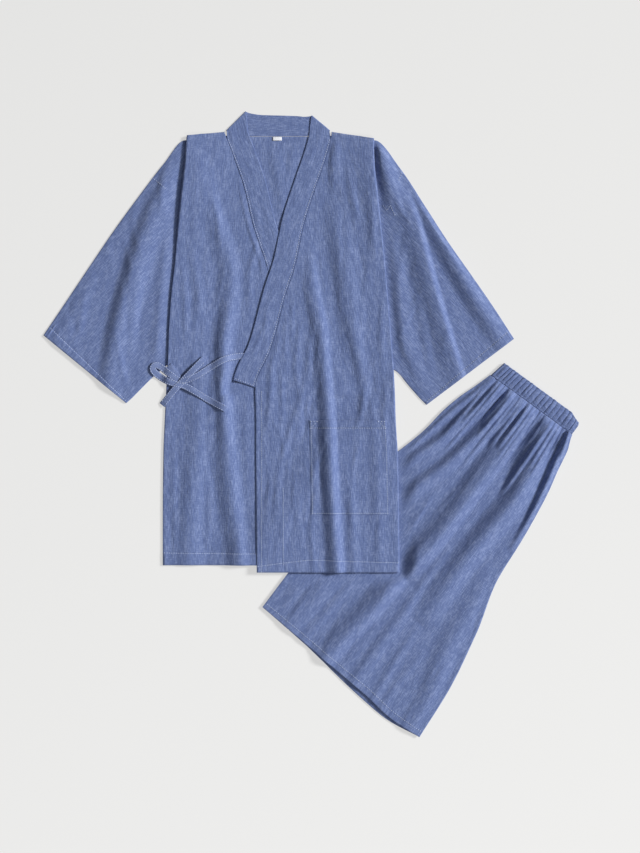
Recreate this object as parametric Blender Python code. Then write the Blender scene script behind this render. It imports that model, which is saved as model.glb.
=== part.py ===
"""A jinbei set laid flat: a short wrapped jacket, and shorts folded in half beside and under it.

The jacket lies on its back with the left front over the right one.  Its sides are folded under, so
each front turns round a fold edge that lies over the sleeve.  The shorts are folded leg on leg.
Tables and sizes are millimetres, the model is metres.  The jacket's tables use its own frame: x from
the centre back line, y up from the hem.  "Out" is the distance from that line towards a side.  The
shorts' frame has u down from the waist and v across, towards the side fold of the legs.
"""

import math
from collections import namedtuple

import bpy
import numpy as np
from mathutils import Vector
from mathutils.bvhtree import BVHTree

MM = 0.001

# Cloth
CLOTH = 1.0                    # wall of a panel
GAP = 0.3                      # between pieces at a seam, and between layers
PITCH = CLOTH + GAP            # from the middle of one layer to the middle of the next
COLLAR_WALL = 1.8              # the collar band is cloth folded double
BAND_WALL = 1.6                # so is the waistband

# Jacket
JACKET_AT = (-52.7, -249.8)    # its hem on the centre back line
NECK_Y = 746.0                 # the shoulder line where it meets the collar
RIGHT_DROP = 6.0               # the shoulder line falls this far on its way out
LEFT_DROP = 11.0
RIGHT_HEM_Y = 10.0             # the under front is drawn up a little
LEFT_HEM_Y = -2.0
BACK_HEM_Y = 13.0
RETURN = 35.0                  # cloth turned back under each side fold
COLLAR_WIDTH = 38.0
COLLAR_END_Y = 312.0           # where the collar band stops, at its seam
RIGHT_NECK_RISE = 35.0         # the band stands this far above the shoulder line
LEFT_NECK_RISE = 28.0
NECK_BACK_Y = 739.0            # seam of the band to the back
SHOULDER_ROLL = 2.5            # the shoulder line is rounded over this much
UNDERARM_Y = 345.0
LEFT_OVER = 2.9                # the left front clears the right one and its collar by this much
LEFT_OVER_LOW = 2.3            # and less below the collar
POCKET_ROWS = (96.0, 256.0)
POCKET_COLUMNS = (0.387, 0.94)  # share of the way from the front edge to the side fold
LABEL_SIZE = (19.0, 7.0)
LABEL_AT = (-4.5, 734.5)
TIE_WIDTH = 9.5
STRAP_PITCH = 1.6              # from one crossing strap to the next

# Shorts
SHORTS_AT = (394.5, 52.8)      # middle of the waist
SHORTS_TURN = math.radians(-126.2)
BAND_HEIGHT = 30.0
BAND_CROWN = 1.4               # the band's upper layer swells this much in the middle
GATHERS = 13
GATHER_HEIGHT = 2.2
LEG_TOP = 28.3                 # where the legs start below the waistband's edge
LEG_LENGTH = 584.0
SHORTS_LAYERS = 4
SHORTS_RIDE = 5.8              # the jacket is lifted this far where it lies over the shorts
SHORTS_SLACK = 0.9             # the fronts rise a little sooner and higher there than the back

# Where each front is sewn to the collar or ends, and its side fold, at heights up the jacket.
Outline = namedtuple("Outline", "y right_seam left_seam right_fold left_fold")
OUTLINE = [
    Outline(0, -43, -39, 199, 203),
    Outline(100, -43, -40, 199, 202),
    Outline(200, -42, -41, 198, 200),
    Outline(250, -42, -41, 196, 197),
    Outline(312, -42, -42, 193, 195),
    Outline(374, -17, -17, 190, 191),
    Outline(403, -8, -8, 189, 189),
    Outline(468, 9, 9, 185, 183),
    Outline(520, 23, 26, 179, 179),
    Outline(590, 46, 41, 173, 172),
    Outline(650, 60, 60, 167, 166),
    Outline(705, 79, 79, 161, 161),
    Outline(736, 91, 87, 159, 160),
    Outline(746, 94, 88, 158, 160),
]

# Height of the side fold above the layer it lies on.
Puff = namedtuple("Puff", "y height")
SIDE_PUFF = [
    Puff(0, 1.2),
    Puff(250, 1.2),
    Puff(345, 1.0),
    Puff(520, 1.8),
    Puff(660, 5.5),
    Puff(746, 2.5),
]

# Rings of a sleeve from the armhole, under the front, out to the cuff: its upper and lower edges.
Ring = namedtuple("Ring", "top_out top_y under_out under_y")
RIGHT_SLEEVE = [
    Ring(124, 729, 158, 358),
    Ring(161, 731, 193, 350),
    Ring(198, 690, 206, 339),
    Ring(240, 635, 221, 326),
    Ring(280, 580, 234, 313),
    Ring(320, 521, 244, 303),
    Ring(360, 461, 253, 294),
    Ring(401, 400, 262, 286),
]
LEFT_SLEEVE = [
    Ring(124, 729, 158, 354),
    Ring(161, 731, 192, 344),
    Ring(205, 682, 204, 335),
    Ring(247, 618, 212, 325),
    Ring(285, 559, 221, 314),
    Ring(322, 506, 229, 305),
    Ring(360, 451, 237, 296),
    Ring(397, 394, 250, 283),
]

# The largest folds: the run of each crest as (across, along) points, its reach to each side, its height.
Fold = namedtuple("Fold", "path left right height")
RIGHT_FRONT_FOLDS = [
    Fold(((-136, 730), (-119, 631), (-94, 554), (-84, 503), (-87, 435), (-95, 376), (-95, 291), (-91, 223),
          (-83, 138), (-70, 36), (-56, -120), (-50, -300)), 30, 22, 6.0),
    Fold(((-88, 460), (-96, 376), (-95, 291), (-91, 210)), 17, 16, 3.4),
    Fold(((-154, 760), (-147, 650), (-140, 540)), 24, 26, 2.5),
    Fold(((-134, 380), (-137, 270), (-144, 180), (-152, 70), (-158, -120)), 34, 30, 4.6),
]
LEFT_FRONT_FOLDS = [
    Fold(((50, 560), (58, 478), (72, 401), (78, 325), (83, 268), (88, 155), (97, 19), (106, -100),
          (110, -300)),
         23, 14, 7.8),
    Fold(((90, 640), (96, 590), (108, 500), (118, 420), (124, 350)), 26, 34, 4.0),
    Fold(((118, 440), (130, 380), (140, 320), (146, 250)), 15, 17, 2.6),
    Fold(((112, 200), (122, 100), (128, -120)), 12, 16, 1.6),
    Fold(((160, 300), (168, 140), (170, -60)), 20, 22, 2.0),
]
RIGHT_SLEEVE_FOLDS = [
    Fold(((-190, 695), (-206, 640), (-246, 520), (-280, 390), (-296, 280)), 25, 38, 9.0),
    Fold(((-318, 560), (-350, 460), (-372, 370)), 34, 36, 2.5),
    Fold(((-184, 580), (-192, 450), (-204, 370), (-214, 280)), 26, 24, 3.0),
]
LEFT_SLEEVE_FOLDS = [
    Fold(((210, 672), (216, 642), (232, 594), (249, 530), (266, 466), (283, 410), (304, 342), (318, 290)),
         42, 12, 8.0),
    Fold(((240, 660), (263, 588), (285, 545), (306, 506), (332, 460), (362, 412), (392, 360)), 26, 20, 7.5),
    Fold(((184, 560), (198, 470), (206, 400), (228, 340), (240, 280)), 16, 30, 3.0),
    Fold(((160, 780), (170, 720), (181, 685), (188, 648), (189, 605)), 26, 28, 8.0),
]
SHORTS_FOLDS = [
    Fold(((-6, -160), (1, 60), (2, 110), (2, 198), (2, 264), (-1, 336), (-11, 395), (-17, 473), (-26, 533),
          (-40, 700)), 36, 19, 10.0),
    Fold(((36, -160), (46, 60), (60, 125), (67, 183), (62, 261), (60, 320), (64, 440)), 31, 28, 11.0),
    Fold(((-38, -120), (-42, 72), (-50, 131), (-60, 191), (-80, 258), (-98, 360)), 17, 20, 7.5),
    Fold(((-62, -80), (-71, 60), (-82, 110), (-95, 166), (-119, 229), (-140, 320)), 14, 16, 6.5),
    Fold(((22, 400), (28, 450), (28, 523), (32, 640)), 14, 20, 2.6),
    Fold(((104, 290), (114, 344), (122, 435), (148, 538), (160, 640)), 28, 26, 3.5),
    Fold(((-92, 330), (-104, 420), (-118, 640)), 26, 30, 2.6),
]

# Edges of the folded shorts down from the waist: the rise and inseam, then the side fold.
Leg = namedtuple("Leg", "u seam side")
LEGS = [
    Leg(0, -82, 79),
    Leg(26, -90, 79),
    Leg(55, -99, 89),
    Leg(93, -112, 96),
    Leg(128, -120, 104),
    Leg(167, -125, 110),
    Leg(226, -140, 117),
    Leg(290, -163, 122),
    Leg(390, -167, 148),
    Leg(503, -169, 168),
    Leg(584, -170, 174),
]
# The hem's reach below the waist, across the legs, and how much further the under leg shows.
Hem = namedtuple("Hem", "v u under")
SHORTS_HEM = [
    Hem(-170, 575, 0),
    Hem(-60, 583, 2),
    Hem(0, 588, 6),
    Hem(58, 592, 9),
    Hem(120, 599, 5),
    Hem(174, 596, 0),
]

# Ties: the way each strap runs, and how many straps lie under it there.
Strap = namedtuple("Strap", "x y under")
FRONT_TIE = [
    Strap(-65.2, 365, 0),
    Strap(-70, 365, 0),
    Strap(-92, 360, 0),
    Strap(-118, 346, 0.2),
    Strap(-140, 332, 1),
    Strap(-167, 323, 1),
    Strap(-186, 334, 1),
    Strap(-204, 348, 1),
    Strap(-213, 349, 1),
    Strap(-215, 341, 1),
    Strap(-202, 329, 1.1),
    Strap(-184, 320, 2),
    Strap(-163, 315, 2),
    Strap(-144, 305, 1),
    Strap(-121, 291, 0),
    Strap(-91, 275, 0),
]
SIDE_TIE_OUT = [
    Strap(-188, 350, 0),
    Strap(-181, 340, 0),
    Strap(-171, 327, 0),
    Strap(-161, 326, 0),
    Strap(-150, 338, 0),
    Strap(-129, 360, 0),
]
SIDE_TIE_BACK = [
    Strap(-129, 360, 1),
    Strap(-150, 338, 3),
    Strap(-167, 320, 3),
    Strap(-177, 310, 3),
    Strap(-187, 298, 1.4),
    Strap(-200, 282, 0.6),
]

# Grid lines of a front panel: heights up the front edge, and shares of the way across.
FRONT_ROWS = [32, 64, 96, 136, 176, 216, 256, 284, 312, 345, 374, 403, 450, 500, 550, 600, 650, 700,
              732, NECK_Y]
FRONT_COLUMNS = [0, 0.07, 0.15, 0.23, 0.31, 0.387, 0.47, 0.55, 0.63, 0.71, 0.79, 0.87, 0.94, 1.0]
BEND_STEPS = 4
# Grid lines down the legs, as shares of the way to the hem.
TOP_LEG_ROWS = [0, 0.08, 0.18, 0.28, 0.38, 0.48, 0.58, 0.68, 0.78, 0.9, 1]
UNDER_LEG_ROWS = [0, 0.2, 0.4, 0.6, 0.8, 1]


def curve(xs, ys, at):
    """Reads a smooth curve through points, one that never overshoots them."""
    xs, ys = np.array(xs, dtype=float), np.array(ys, dtype=float)
    at = min(max(at, xs[0]), xs[-1])
    steps = np.diff(ys) / np.diff(xs)
    slopes = np.zeros(len(xs))
    slopes[0], slopes[-1] = steps[0], steps[-1]
    for i in range(1, len(xs) - 1):
        before, after = steps[i - 1], steps[i]
        if before * after > 0:
            slopes[i] = 2 * before * after / (before + after)
    i = min(int(np.searchsorted(xs, at, side="right")) - 1, len(xs) - 2)
    width = xs[i + 1] - xs[i]
    t = (at - xs[i]) / width
    return float((1 + 2 * t) * (1 - t) ** 2 * ys[i] + t * (1 - t) ** 2 * width * slopes[i]
                 + t * t * (3 - 2 * t) * ys[i + 1] + t * t * (t - 1) * width * slopes[i + 1])


def smooth(table, column, at):
    """Reads a table's column at a place of its first one."""
    return curve([row[0] for row in table], [getattr(row, column) for row in table], at)


def ease(value, start, end):
    """Goes smoothly from 0 at the start to 1 at the end."""
    t = min(max((value - start) / (end - start), 0.0), 1.0)
    return t * t * (3 - 2 * t)


def folds_height(across, along, folds):
    """Height of the soft ridges that a table of folds raises at a point."""
    total = 0.0
    for fold in folds:
        points = sorted(fold.path, key=lambda point: point[1])
        runs, places = [point[1] for point in points], [point[0] for point in points]
        share = (along - runs[0]) / (runs[-1] - runs[0])
        if not 0 < share < 1:
            continue
        lean = (curve(runs, places, along + 3) - curve(runs, places, along - 3)) / 6
        off = (across - curve(runs, places, along)) / math.hypot(1, lean)
        reach = fold.right if off > 0 else fold.left
        if abs(off) < reach:
            ends = math.sin(math.pi * share) ** 0.7
            total += fold.height * ends * math.cos(math.pi * off / reach / 2) ** 2
    return total


def to_shorts(x, y):
    """A place in the jacket's frame, given in the shorts' frame."""
    dx = x + JACKET_AT[0] - SHORTS_AT[0]
    dy = y + JACKET_AT[1] - SHORTS_AT[1]
    c, s = math.cos(SHORTS_TURN), math.sin(SHORTS_TURN)
    return dx * c + dy * s, -dx * s + dy * c


def from_shorts(u, v):
    """A place in the shorts' frame, given in the jacket's frame."""
    c, s = math.cos(SHORTS_TURN), math.sin(SHORTS_TURN)
    x = SHORTS_AT[0] + u * c - v * s - JACKET_AT[0]
    y = SHORTS_AT[1] + u * s + v * c - JACKET_AT[1]
    return x, y


def ride(x, y, slack=0.0):
    """How far the jacket is lifted by the shorts under it."""
    u, v = to_shorts(x, y)
    inside = v - smooth(LEGS, "seam", u)
    sooner = 32.0 if slack else 0.0
    return (SHORTS_RIDE + slack) * ease(inside, -95.0 - sooner, -25.0 - sooner)


class Front:
    """One front of the jacket, worked out from the outline; side is -1 for the right, 1 for the left."""

    def __init__(self, side):
        self.side = side
        self.name = "right" if side < 0 else "left"
        self.folds = RIGHT_FRONT_FOLDS if side < 0 else LEFT_FRONT_FOLDS
        self.hem = RIGHT_HEM_Y if side < 0 else LEFT_HEM_Y
        self.drop = RIGHT_DROP if side < 0 else LEFT_DROP

    def seam(self, y):
        return smooth(OUTLINE, self.name + "_seam", y)

    def fold(self, y):
        return smooth(OUTLINE, self.name + "_fold", y)

    def other_edge(self, y):
        """Where the other front ends, with its collar, measured out on this front's side."""
        other = "left" if self.side < 0 else "right"
        edge = -smooth(OUTLINE, other + "_seam", y)
        return edge + (COLLAR_WIDTH if y > COLLAR_END_Y - 14 else 0.0)

    def over(self, out, y):
        """The left front rises where the right front and its collar lie under it."""
        if self.side < 0:
            return 0.0
        edge = self.other_edge(y)
        over = LEFT_OVER_LOW + (LEFT_OVER - LEFT_OVER_LOW) * ease(y, COLLAR_END_Y - 50, COLLAR_END_Y - 10)
        return over * (1 - ease(out, edge + 16, edge + 70))

    def calm(self, out, y):
        """The folds die out at the seam, the side fold, the shoulder and under the other front."""
        inward = self.fold(y) - out
        share = ease(inward, 4, 40) * ease(out - self.seam(y), 2, 34) * (1 - ease(y, 690, 740))
        if self.side < 0:
            edge = self.other_edge(y)
            share *= ease(out, edge + 15, edge + 46)
        return share

    def middle(self, out, y):
        """Height of the middle of the cloth."""
        inward = self.fold(y) - out
        above = ease(y, UNDERARM_Y - 33, UNDERARM_Y - 6)
        height = CLOTH / 2 + PITCH + above * 2 * PITCH * (1 - ease(inward, 44, 92))
        height += smooth(SIDE_PUFF, "height", y) * (1 - ease(inward, 0, 50))
        height += self.over(out, y)
        height += folds_height(self.side * out, y, self.folds) * self.calm(out, y)
        return height + ride(self.side * out, y, SHORTS_SLACK)

    def return_height(self, y):
        """The turned-back cloth lies on the floor, and on the sleeve above the underarm."""
        above = ease(y, UNDERARM_Y - 33, UNDERARM_Y - 6)
        return CLOTH / 2 + above * 2 * PITCH

    def row(self, y, share=1.0):
        """Points of one row from the seam out, round the side fold and back under it."""
        fold = self.fold(y)
        seam = self.seam(y)
        low = self.return_height(y) + ride(self.side * fold, y)
        high = self.middle(fold, y)
        radius = (high - low) / 2
        start = fold - radius - CLOTH / 2
        drop = self.drop * ease(y, 560, NECK_Y)
        points = []
        for s in FRONT_COLUMNS:
            out = seam + s * (start - seam)
            points.append((out, y - drop * s, self.middle(out, y)))
        for k in range(1, BEND_STEPS + 1):
            angle = math.pi * k / BEND_STEPS
            points.append((start + radius * math.sin(angle), y - drop,
                           low + radius + radius * math.cos(angle)))
        for s in (0.35, 0.7, 1.0):
            out = start + s * (fold - RETURN - start)
            points.append((out, y - drop, self.return_height(y) + ride(self.side * out, y)))
        return [(self.side * out, row_y, z) for out, row_y, z in points]

    def grid(self):
        """Rows from the hem to the shoulder; the last ones roll down to the floor by the neck."""
        rows = [self.row(self.hem)] + [self.row(y) for y in FRONT_ROWS]
        top = [(x, y - SHOULDER_ROLL, z) for x, y, z in rows.pop()]
        rows.append(top)
        for step in range(3):
            angle = math.pi / 2 * (step + 1) / 3
            rolled = []
            for j, (x, y, z) in enumerate(top):
                inward = self.fold(NECK_Y) - abs(x)
                roll = ease(inward, 18, 46) if j < len(FRONT_COLUMNS) else 0.0
                floor = CLOTH / 2 + 0.1
                z_end = z + roll * (floor - z)
                rolled.append((x, y + SHOULDER_ROLL * math.sin(angle),
                               z_end + (z - z_end) * math.cos(angle)))
            rows.append(rolled)
        return np.array(rows)


def normals(grid, around=False):
    """Unit normals of a grid of points; around joins its last column to its first."""
    down = np.gradient(grid, axis=0)
    if around:
        across = (np.roll(grid, -1, axis=1) - np.roll(grid, 1, axis=1)) / 2
    else:
        across = np.gradient(grid, axis=1)
    found = np.cross(across, down)
    return found / np.linalg.norm(found, axis=2, keepdims=True)


def material(name, colour, roughness):
    made = bpy.data.materials.new(name)
    made.use_nodes = True
    shader = made.node_tree.nodes["Principled BSDF"]
    shader.inputs["Base Color"].default_value = (*colour, 1.0)
    shader.inputs["Roughness"].default_value = roughness
    shader.inputs["Metallic"].default_value = 0.0
    return made


CHAMBRAY = (0.155, 0.205, 0.375)
LABEL_WHITE = (0.8, 0.8, 0.82)


def solid(name, grid, wall, around=False, colour=CHAMBRAY):
    """Gives a grid of points its wall, half to each side, as one closed solid in metres."""
    rows, columns = grid.shape[:2]
    out = normals(grid, around) * wall / 2
    upper, lower = grid + out, grid - out
    points = np.concatenate([upper.reshape(-1, 3), lower.reshape(-1, 3)])
    below = rows * columns
    faces = []
    last = columns if around else columns - 1
    for i in range(rows - 1):
        for j in range(last):
            k = (j + 1) % columns
            a, b, c, d = i * columns + j, i * columns + k, (i + 1) * columns + k, (i + 1) * columns + j
            faces += [(a, b, c), (a, c, d)]
            faces += [(below + c, below + b, below + a), (below + d, below + c, below + a)]
    for j in range(last):
        k = (j + 1) % columns
        end = (rows - 1) * columns
        faces.append((below + j, below + k, k, j))
        faces.append((end + j, end + k, below + end + k, below + end + j))
    if not around:
        for i in range(rows - 1):
            a, b = i * columns, (i + 1) * columns
            faces.append((a, b, below + b, below + a))
            a, b = a + columns - 1, b + columns - 1
            faces.append((b, a, below + a, below + b))
    mesh = bpy.data.meshes.new(name)
    shift = np.array([JACKET_AT[0], JACKET_AT[1], 0.0])
    mesh.from_pydata(((points + shift) * MM).tolist(), [], faces)
    mesh.materials.append(material(name, colour, 0.85))
    mesh.shade_smooth()
    mesh.set_sharp_from_angle(angle=math.radians(50))
    made = bpy.data.objects.new(name, mesh)
    bpy.context.collection.objects.link(made)
    return made


def side_seam(side, sleeve, y):
    """Where the back ends: at the turned-back front, and at the armhole above the underarm."""
    if y <= UNDERARM_Y:
        return smooth(OUTLINE, side + "_fold", y) - RETURN - GAP
    hole = sleeve[0]
    share = (y - hole.under_y) / (hole.top_y - hole.under_y)
    return hole.under_out + share * (hole.top_out - hole.under_out) - GAP


def back_grid():
    """The back lies on the floor, between the armholes and the turned-back fronts."""
    across = [0, 0.05, 0.12, 0.2, 0.3, 0.4, 0.5, 0.6, 0.7, 0.8, 0.88, 0.95, 1]
    heights = [BACK_HEM_Y] + [y for y in FRONT_ROWS if y <= UNDERARM_Y]
    heights += [374, 440, 520, 600, 680, 715, NECK_BACK_Y]
    rows = []
    for y in heights:
        right, left = -side_seam("right", RIGHT_SLEEVE, y), side_seam("left", LEFT_SLEEVE, y)
        row = []
        for s in across:
            x = right + s * (left - right)
            lift = (y - BACK_HEM_Y) / (NECK_BACK_Y - BACK_HEM_Y)
            beyond = max(abs(x) - 45, 0) / 80
            rise = -GAP - CLOTH + 2.5 * min(beyond, 0.6) * ease(y, 600, NECK_BACK_Y)
            row.append((x, y + lift * rise, CLOTH / 2 + ride(x, y)))
        rows.append(row)
    return np.array(rows)


def collar_grid(right, left):
    """The band from its hidden right end, round the back of the neck, to its left end."""

    def along_front(front, rising):
        ys = [y for y in FRONT_ROWS if COLLAR_END_Y <= y < NECK_Y]
        stations = []
        for y in ys:
            slope = (front.seam(y + 4) - front.seam(y - 4)) / 8 if y > COLLAR_END_Y else 0.36
            slope = min(slope, 0.42)
            size = math.hypot(1, slope)
            seam = front.seam(y) - GAP * size
            width = COLLAR_WIDTH - GAP
            lift = COLLAR_WALL / 2 + PITCH + (LEFT_OVER if front.side > 0 else 0.0)
            lift += (1.6 if front.side < 0 else 0.5) * ease(y, 600, 715)
            inner = (front.side * (seam - width / size), y + width * slope / size, lift)
            outer = (front.side * seam, y, lift)
            stations.append((inner, outer))
        return stations if rising else stations[::-1]

    low = COLLAR_WALL / 2

    def turn(side, outer_x, inner_x, rise, high, rising):
        """The band folds over on the slanting line at the side of the neck."""
        inner = np.array([side * inner_x, NECK_Y + rise])
        outer = np.array([side * outer_x, NECK_Y + 2.2])
        line = outer - inner
        away = np.array([-line[1], line[0]]) * side
        away = away / np.linalg.norm(away)
        radius = (high - low) / 2
        stations = []
        for k in range(BEND_STEPS + 1):
            angle = math.pi * (k / BEND_STEPS)
            shift = away * radius * (math.sin(angle) - 1)
            z = low + radius + radius * math.cos(angle)
            stations.append(((*(inner + shift), z), (*(outer + shift), z)))
        return stations if rising else stations[::-1]

    up = along_front(right, True)
    down = along_front(left, False)
    behind = [
        ((-46, 777, low), (-74, NECK_BACK_Y + 5, low)),
        ((-30, 775, low), (-48, NECK_BACK_Y, low)),
        ((6, 774, low), (0, NECK_BACK_Y, low)),
        ((32, 773, low), (42, NECK_BACK_Y, low)),
        ((42, 772, low), (70, NECK_BACK_Y + 5, low)),
    ]
    stations = up + turn(-1, 91, 58, RIGHT_NECK_RISE, up[-1][0][2], True) + behind
    stations += turn(1, 85, 54, LEFT_NECK_RISE, down[0][0][2], False) + down
    grid = []
    for inner, outer in stations:
        inner, outer = np.array(inner), np.array(outer)
        grid.append([inner + (outer - inner) * s for s in (0, 0.5, 1)])
    return np.array(grid)[:, ::-1]


def sleeve_grid(side, rings, folds, front):
    """Closed rings round the flattened sleeve, from the armhole to the cuff."""
    shares = [0, 0.04, 0.1, 0.18, 0.27, 0.36, 0.45, 0.54, 0.63, 0.72, 0.81, 0.9, 0.96, 1]
    bend = PITCH / 2
    rows = []
    for ring in rings:

        def place(s):
            return (ring.under_out + s * (ring.top_out - ring.under_out),
                    ring.under_y + s * (ring.top_y - ring.under_y))

        upper = []
        for s in shares:
            out, y = place(s)
            clear = ease(out - front.fold(y), 1, 22)
            puff = 2.2 * math.sin(math.pi * s) ** 0.5 if 0 < s < 1 else 0.0
            edge = ease(s, 0, 0.14) * ease(1 - s, 0, 0.14)
            height = (puff + folds_height(side * out, y, folds) * edge) * clear
            upper.append((side * out, y, CLOTH / 2 + PITCH + height))
        lower = [(side * place(s)[0], place(s)[1], CLOTH / 2) for s in (1, 0.75, 0.5, 0.25, 0)]
        top, under = np.array(upper[-1]), np.array(upper[0])
        line = (top - under) / np.linalg.norm(top - under)
        turn_top = top + line * bend * 0.9 - np.array([0, 0, bend])
        turn_under = under - line * bend * 0.9 - np.array([0, 0, bend])
        ring_points = upper + [tuple(turn_top)] + lower + [tuple(turn_under)]
        rows.append(ring_points if side < 0 else ring_points[::-1])
    return np.array(rows)


def outside_jacket(x, y):
    """How far a point of the shorts lies clear of the jacket's side and hem."""
    return max(x - smooth(OUTLINE, "left_fold", min(max(y, 0), NECK_Y)), LEFT_HEM_Y - y)


def leg_grid(layer, columns, stations):
    """One leg, cut in one piece: from the inner seam, round the side fold and back to the seam.

    Layer is the number of the leg's upper layer, counted from the floor.  Only the top one has folds.
    """
    on_top = layer == SHORTS_LAYERS - 1
    inset = 0.0 if on_top else 4.0
    shares = [i / (columns - 1) for i in range(columns)]

    def place(s, t):
        """A place on the leg, as u and v: s across it and t down it."""
        nominal = LEG_TOP + t * (LEG_LENGTH - LEG_TOP)
        seam = smooth(LEGS, "seam", nominal) + inset
        side = smooth(LEGS, "side", nominal) - inset
        v = seam + s * (side - seam)
        reach = smooth(SHORTS_HEM, "u", v) + (0.0 if on_top else smooth(SHORTS_HEM, "under", v))
        return LEG_TOP + t * (reach - LEG_TOP), v

    def relief(u, v):
        clear = ease(outside_jacket(*from_shorts(u, v)), 8, 60)
        seam, side = smooth(LEGS, "seam", u), smooth(LEGS, "side", u)
        edge = ease(v - seam, 2, 34) * ease(side - v, -2, 22)
        sprung = ease(u, LEG_TOP - 6, LEG_TOP + 38)
        settled = 1 - 0.6 * ease(u, LEG_LENGTH - 120, LEG_LENGTH)
        height = folds_height(v, u, SHORTS_FOLDS) * edge * sprung
        return (height + 2.0 * ease(v - seam, 0, 30) * settled) * clear

    upper_level = CLOTH / 2 + layer * PITCH
    lower_level = upper_level - PITCH
    rows = []
    for t in stations:
        row = []
        for s in shares:
            u, v = place(s, t)
            row.append((*from_shorts(u, v), upper_level + (relief(u, v) if on_top else 0.0)))
        u, v = place(1, t)
        radius = (row[-1][2] - lower_level) / 2
        for k in range(1, BEND_STEPS):
            angle = math.pi * k / BEND_STEPS
            row.append((*from_shorts(u, v + radius * math.sin(angle)),
                        lower_level + radius * (1 + math.cos(angle))))
        for s in (1, 0.8, 0.6, 0.4, 0.2, 0):
            row.append((*from_shorts(*place(s, t)), lower_level))
        rows.append(row)
    return np.array(rows)


def waistband_grid():
    """The band is one ring folded in half with the shorts, so it lies in four layers."""
    pitch = BAND_WALL + GAP
    levels = [BAND_WALL / 2 + i * pitch for i in range(SHORTS_LAYERS)]
    fine = [i / (GATHERS * 4) for i in range(GATHERS * 4 + 1)]
    coarse = [i / 4 for i in range(5)]
    rows = []
    for t in (0, 0.25, 0.6, 1):
        u = -2 + t * BAND_HEIGHT
        left = -80 - 6 * t
        right = 77 + (2 if 0 < t else -1)
        inner = left + pitch + 0.4
        row = []

        def put(v, z, bow=0.0):
            slope = 7 * ease(v, 55, 80) * (1 - t)
            row.append((*from_shorts(u + slope + bow, v), z))

        for s in fine:
            swell = GATHER_HEIGHT / 2 * (1 - math.cos(2 * math.pi * GATHERS * s))
            swell *= ease(s, 0, 0.06) * ease(1 - s, 0, 0.06)
            put(left + s * (right - left), levels[3] + BAND_CROWN * math.sin(math.pi * s) + swell)
        for k in range(1, BEND_STEPS):
            angle = math.pi * k / BEND_STEPS
            put(right + pitch / 2 * math.sin(angle), levels[2] + pitch / 2 * (1 + math.cos(angle)))
        for s in coarse[::-1]:
            put(inner + s * (right - inner), levels[2])
        for k in range(1, BEND_STEPS):
            angle = math.pi * k / BEND_STEPS
            put(inner - pitch / 2 * math.sin(angle), levels[1] + pitch / 2 * (1 + math.cos(angle)))
        for s in coarse:
            put(inner + s * (right - inner), levels[1])
        for k in range(1, BEND_STEPS):
            angle = math.pi * k / BEND_STEPS
            put(right + pitch / 2 * math.sin(angle), levels[0] + pitch / 2 * (1 + math.cos(angle)))
        for s in coarse[::-1]:
            put(left + s * (right - left), levels[0])
        radius = (levels[3] - levels[0]) / 2
        for k in range(1, BEND_STEPS + 1):
            angle = math.pi * k / (BEND_STEPS + 1)
            put(left - radius * math.sin(angle), levels[0] + radius * (1 - math.cos(angle)))
        rows.append(row)
    return np.array(rows)


def tops_of(objects):
    """Search trees that tell how high the given solids reach at a place."""
    trees = []
    for thing in objects:
        mesh = thing.data
        points = [vertex.co for vertex in mesh.vertices]
        trees.append(BVHTree.FromPolygons(points, [tuple(face.vertices) for face in mesh.polygons]))
    return trees


def highest(trees, x, y):
    """Height of the topmost solid at a place, in millimetres."""
    at = Vector(((x + JACKET_AT[0]) * MM, (y + JACKET_AT[1]) * MM, 1.0))
    hits = [tree.ray_cast(at, Vector((0, 0, -1)))[0] for tree in trees]
    return max([hit.z / MM for hit in hits if hit is not None], default=0.0)


def bed_height(trees, x, y):
    """A smooth height that clears all that lies within a strap's half width of a place."""
    reach, blend = (-6, 0, 6), (-4, 0, 4)
    tops = [max(highest(trees, x + dx + ex, y + dy + ey) for ex in reach for ey in reach)
            for dx in blend for dy in blend]
    return sum(tops) / len(tops)


def strap_line(route, step=5.0):
    """Even points along a strap's route, by a curve through its rows."""
    fixed = np.array([(row.x, row.y, row.under) for row in route], dtype=float)
    ends = np.vstack([2 * fixed[0] - fixed[1], fixed, 2 * fixed[-1] - fixed[-2]])
    line = []
    for i in range(1, len(ends) - 2):
        p0, p1, p2, p3 = ends[i - 1], ends[i], ends[i + 1], ends[i + 2]
        count = max(2, round(float(np.linalg.norm((p2 - p1)[:2])) / step))
        for k in range(count):
            t = k / count
            line.append(0.5 * (2 * p1 + (p2 - p0) * t + (2 * p0 - 5 * p1 + 4 * p2 - p3) * t * t
                               + (3 * p1 - 3 * p2 + p3 - p0) * t ** 3))
    line.append(fixed[-1])
    return np.array(line)


def strap_rows(line, trees, flip=1.0):
    """Gives a strap's line its width, and lays it on what is under it."""
    run = np.gradient(line[:, :2], axis=0)
    side = flip * np.stack([-run[:, 1], run[:, 0]], axis=1)
    side = side / np.linalg.norm(side, axis=1, keepdims=True) * TIE_WIDTH / 2
    rows = []
    for (x, y, under), (sx, sy) in zip(line, side):
        lift = CLOTH / 2 + 2 * GAP + max(under, 0) * STRAP_PITCH
        rows.append([(x + k * sx, y + k * sy, bed_height(trees, x + k * sx, y + k * sy) + lift)
                     for k in (-1, 1)])
    return rows


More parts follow.
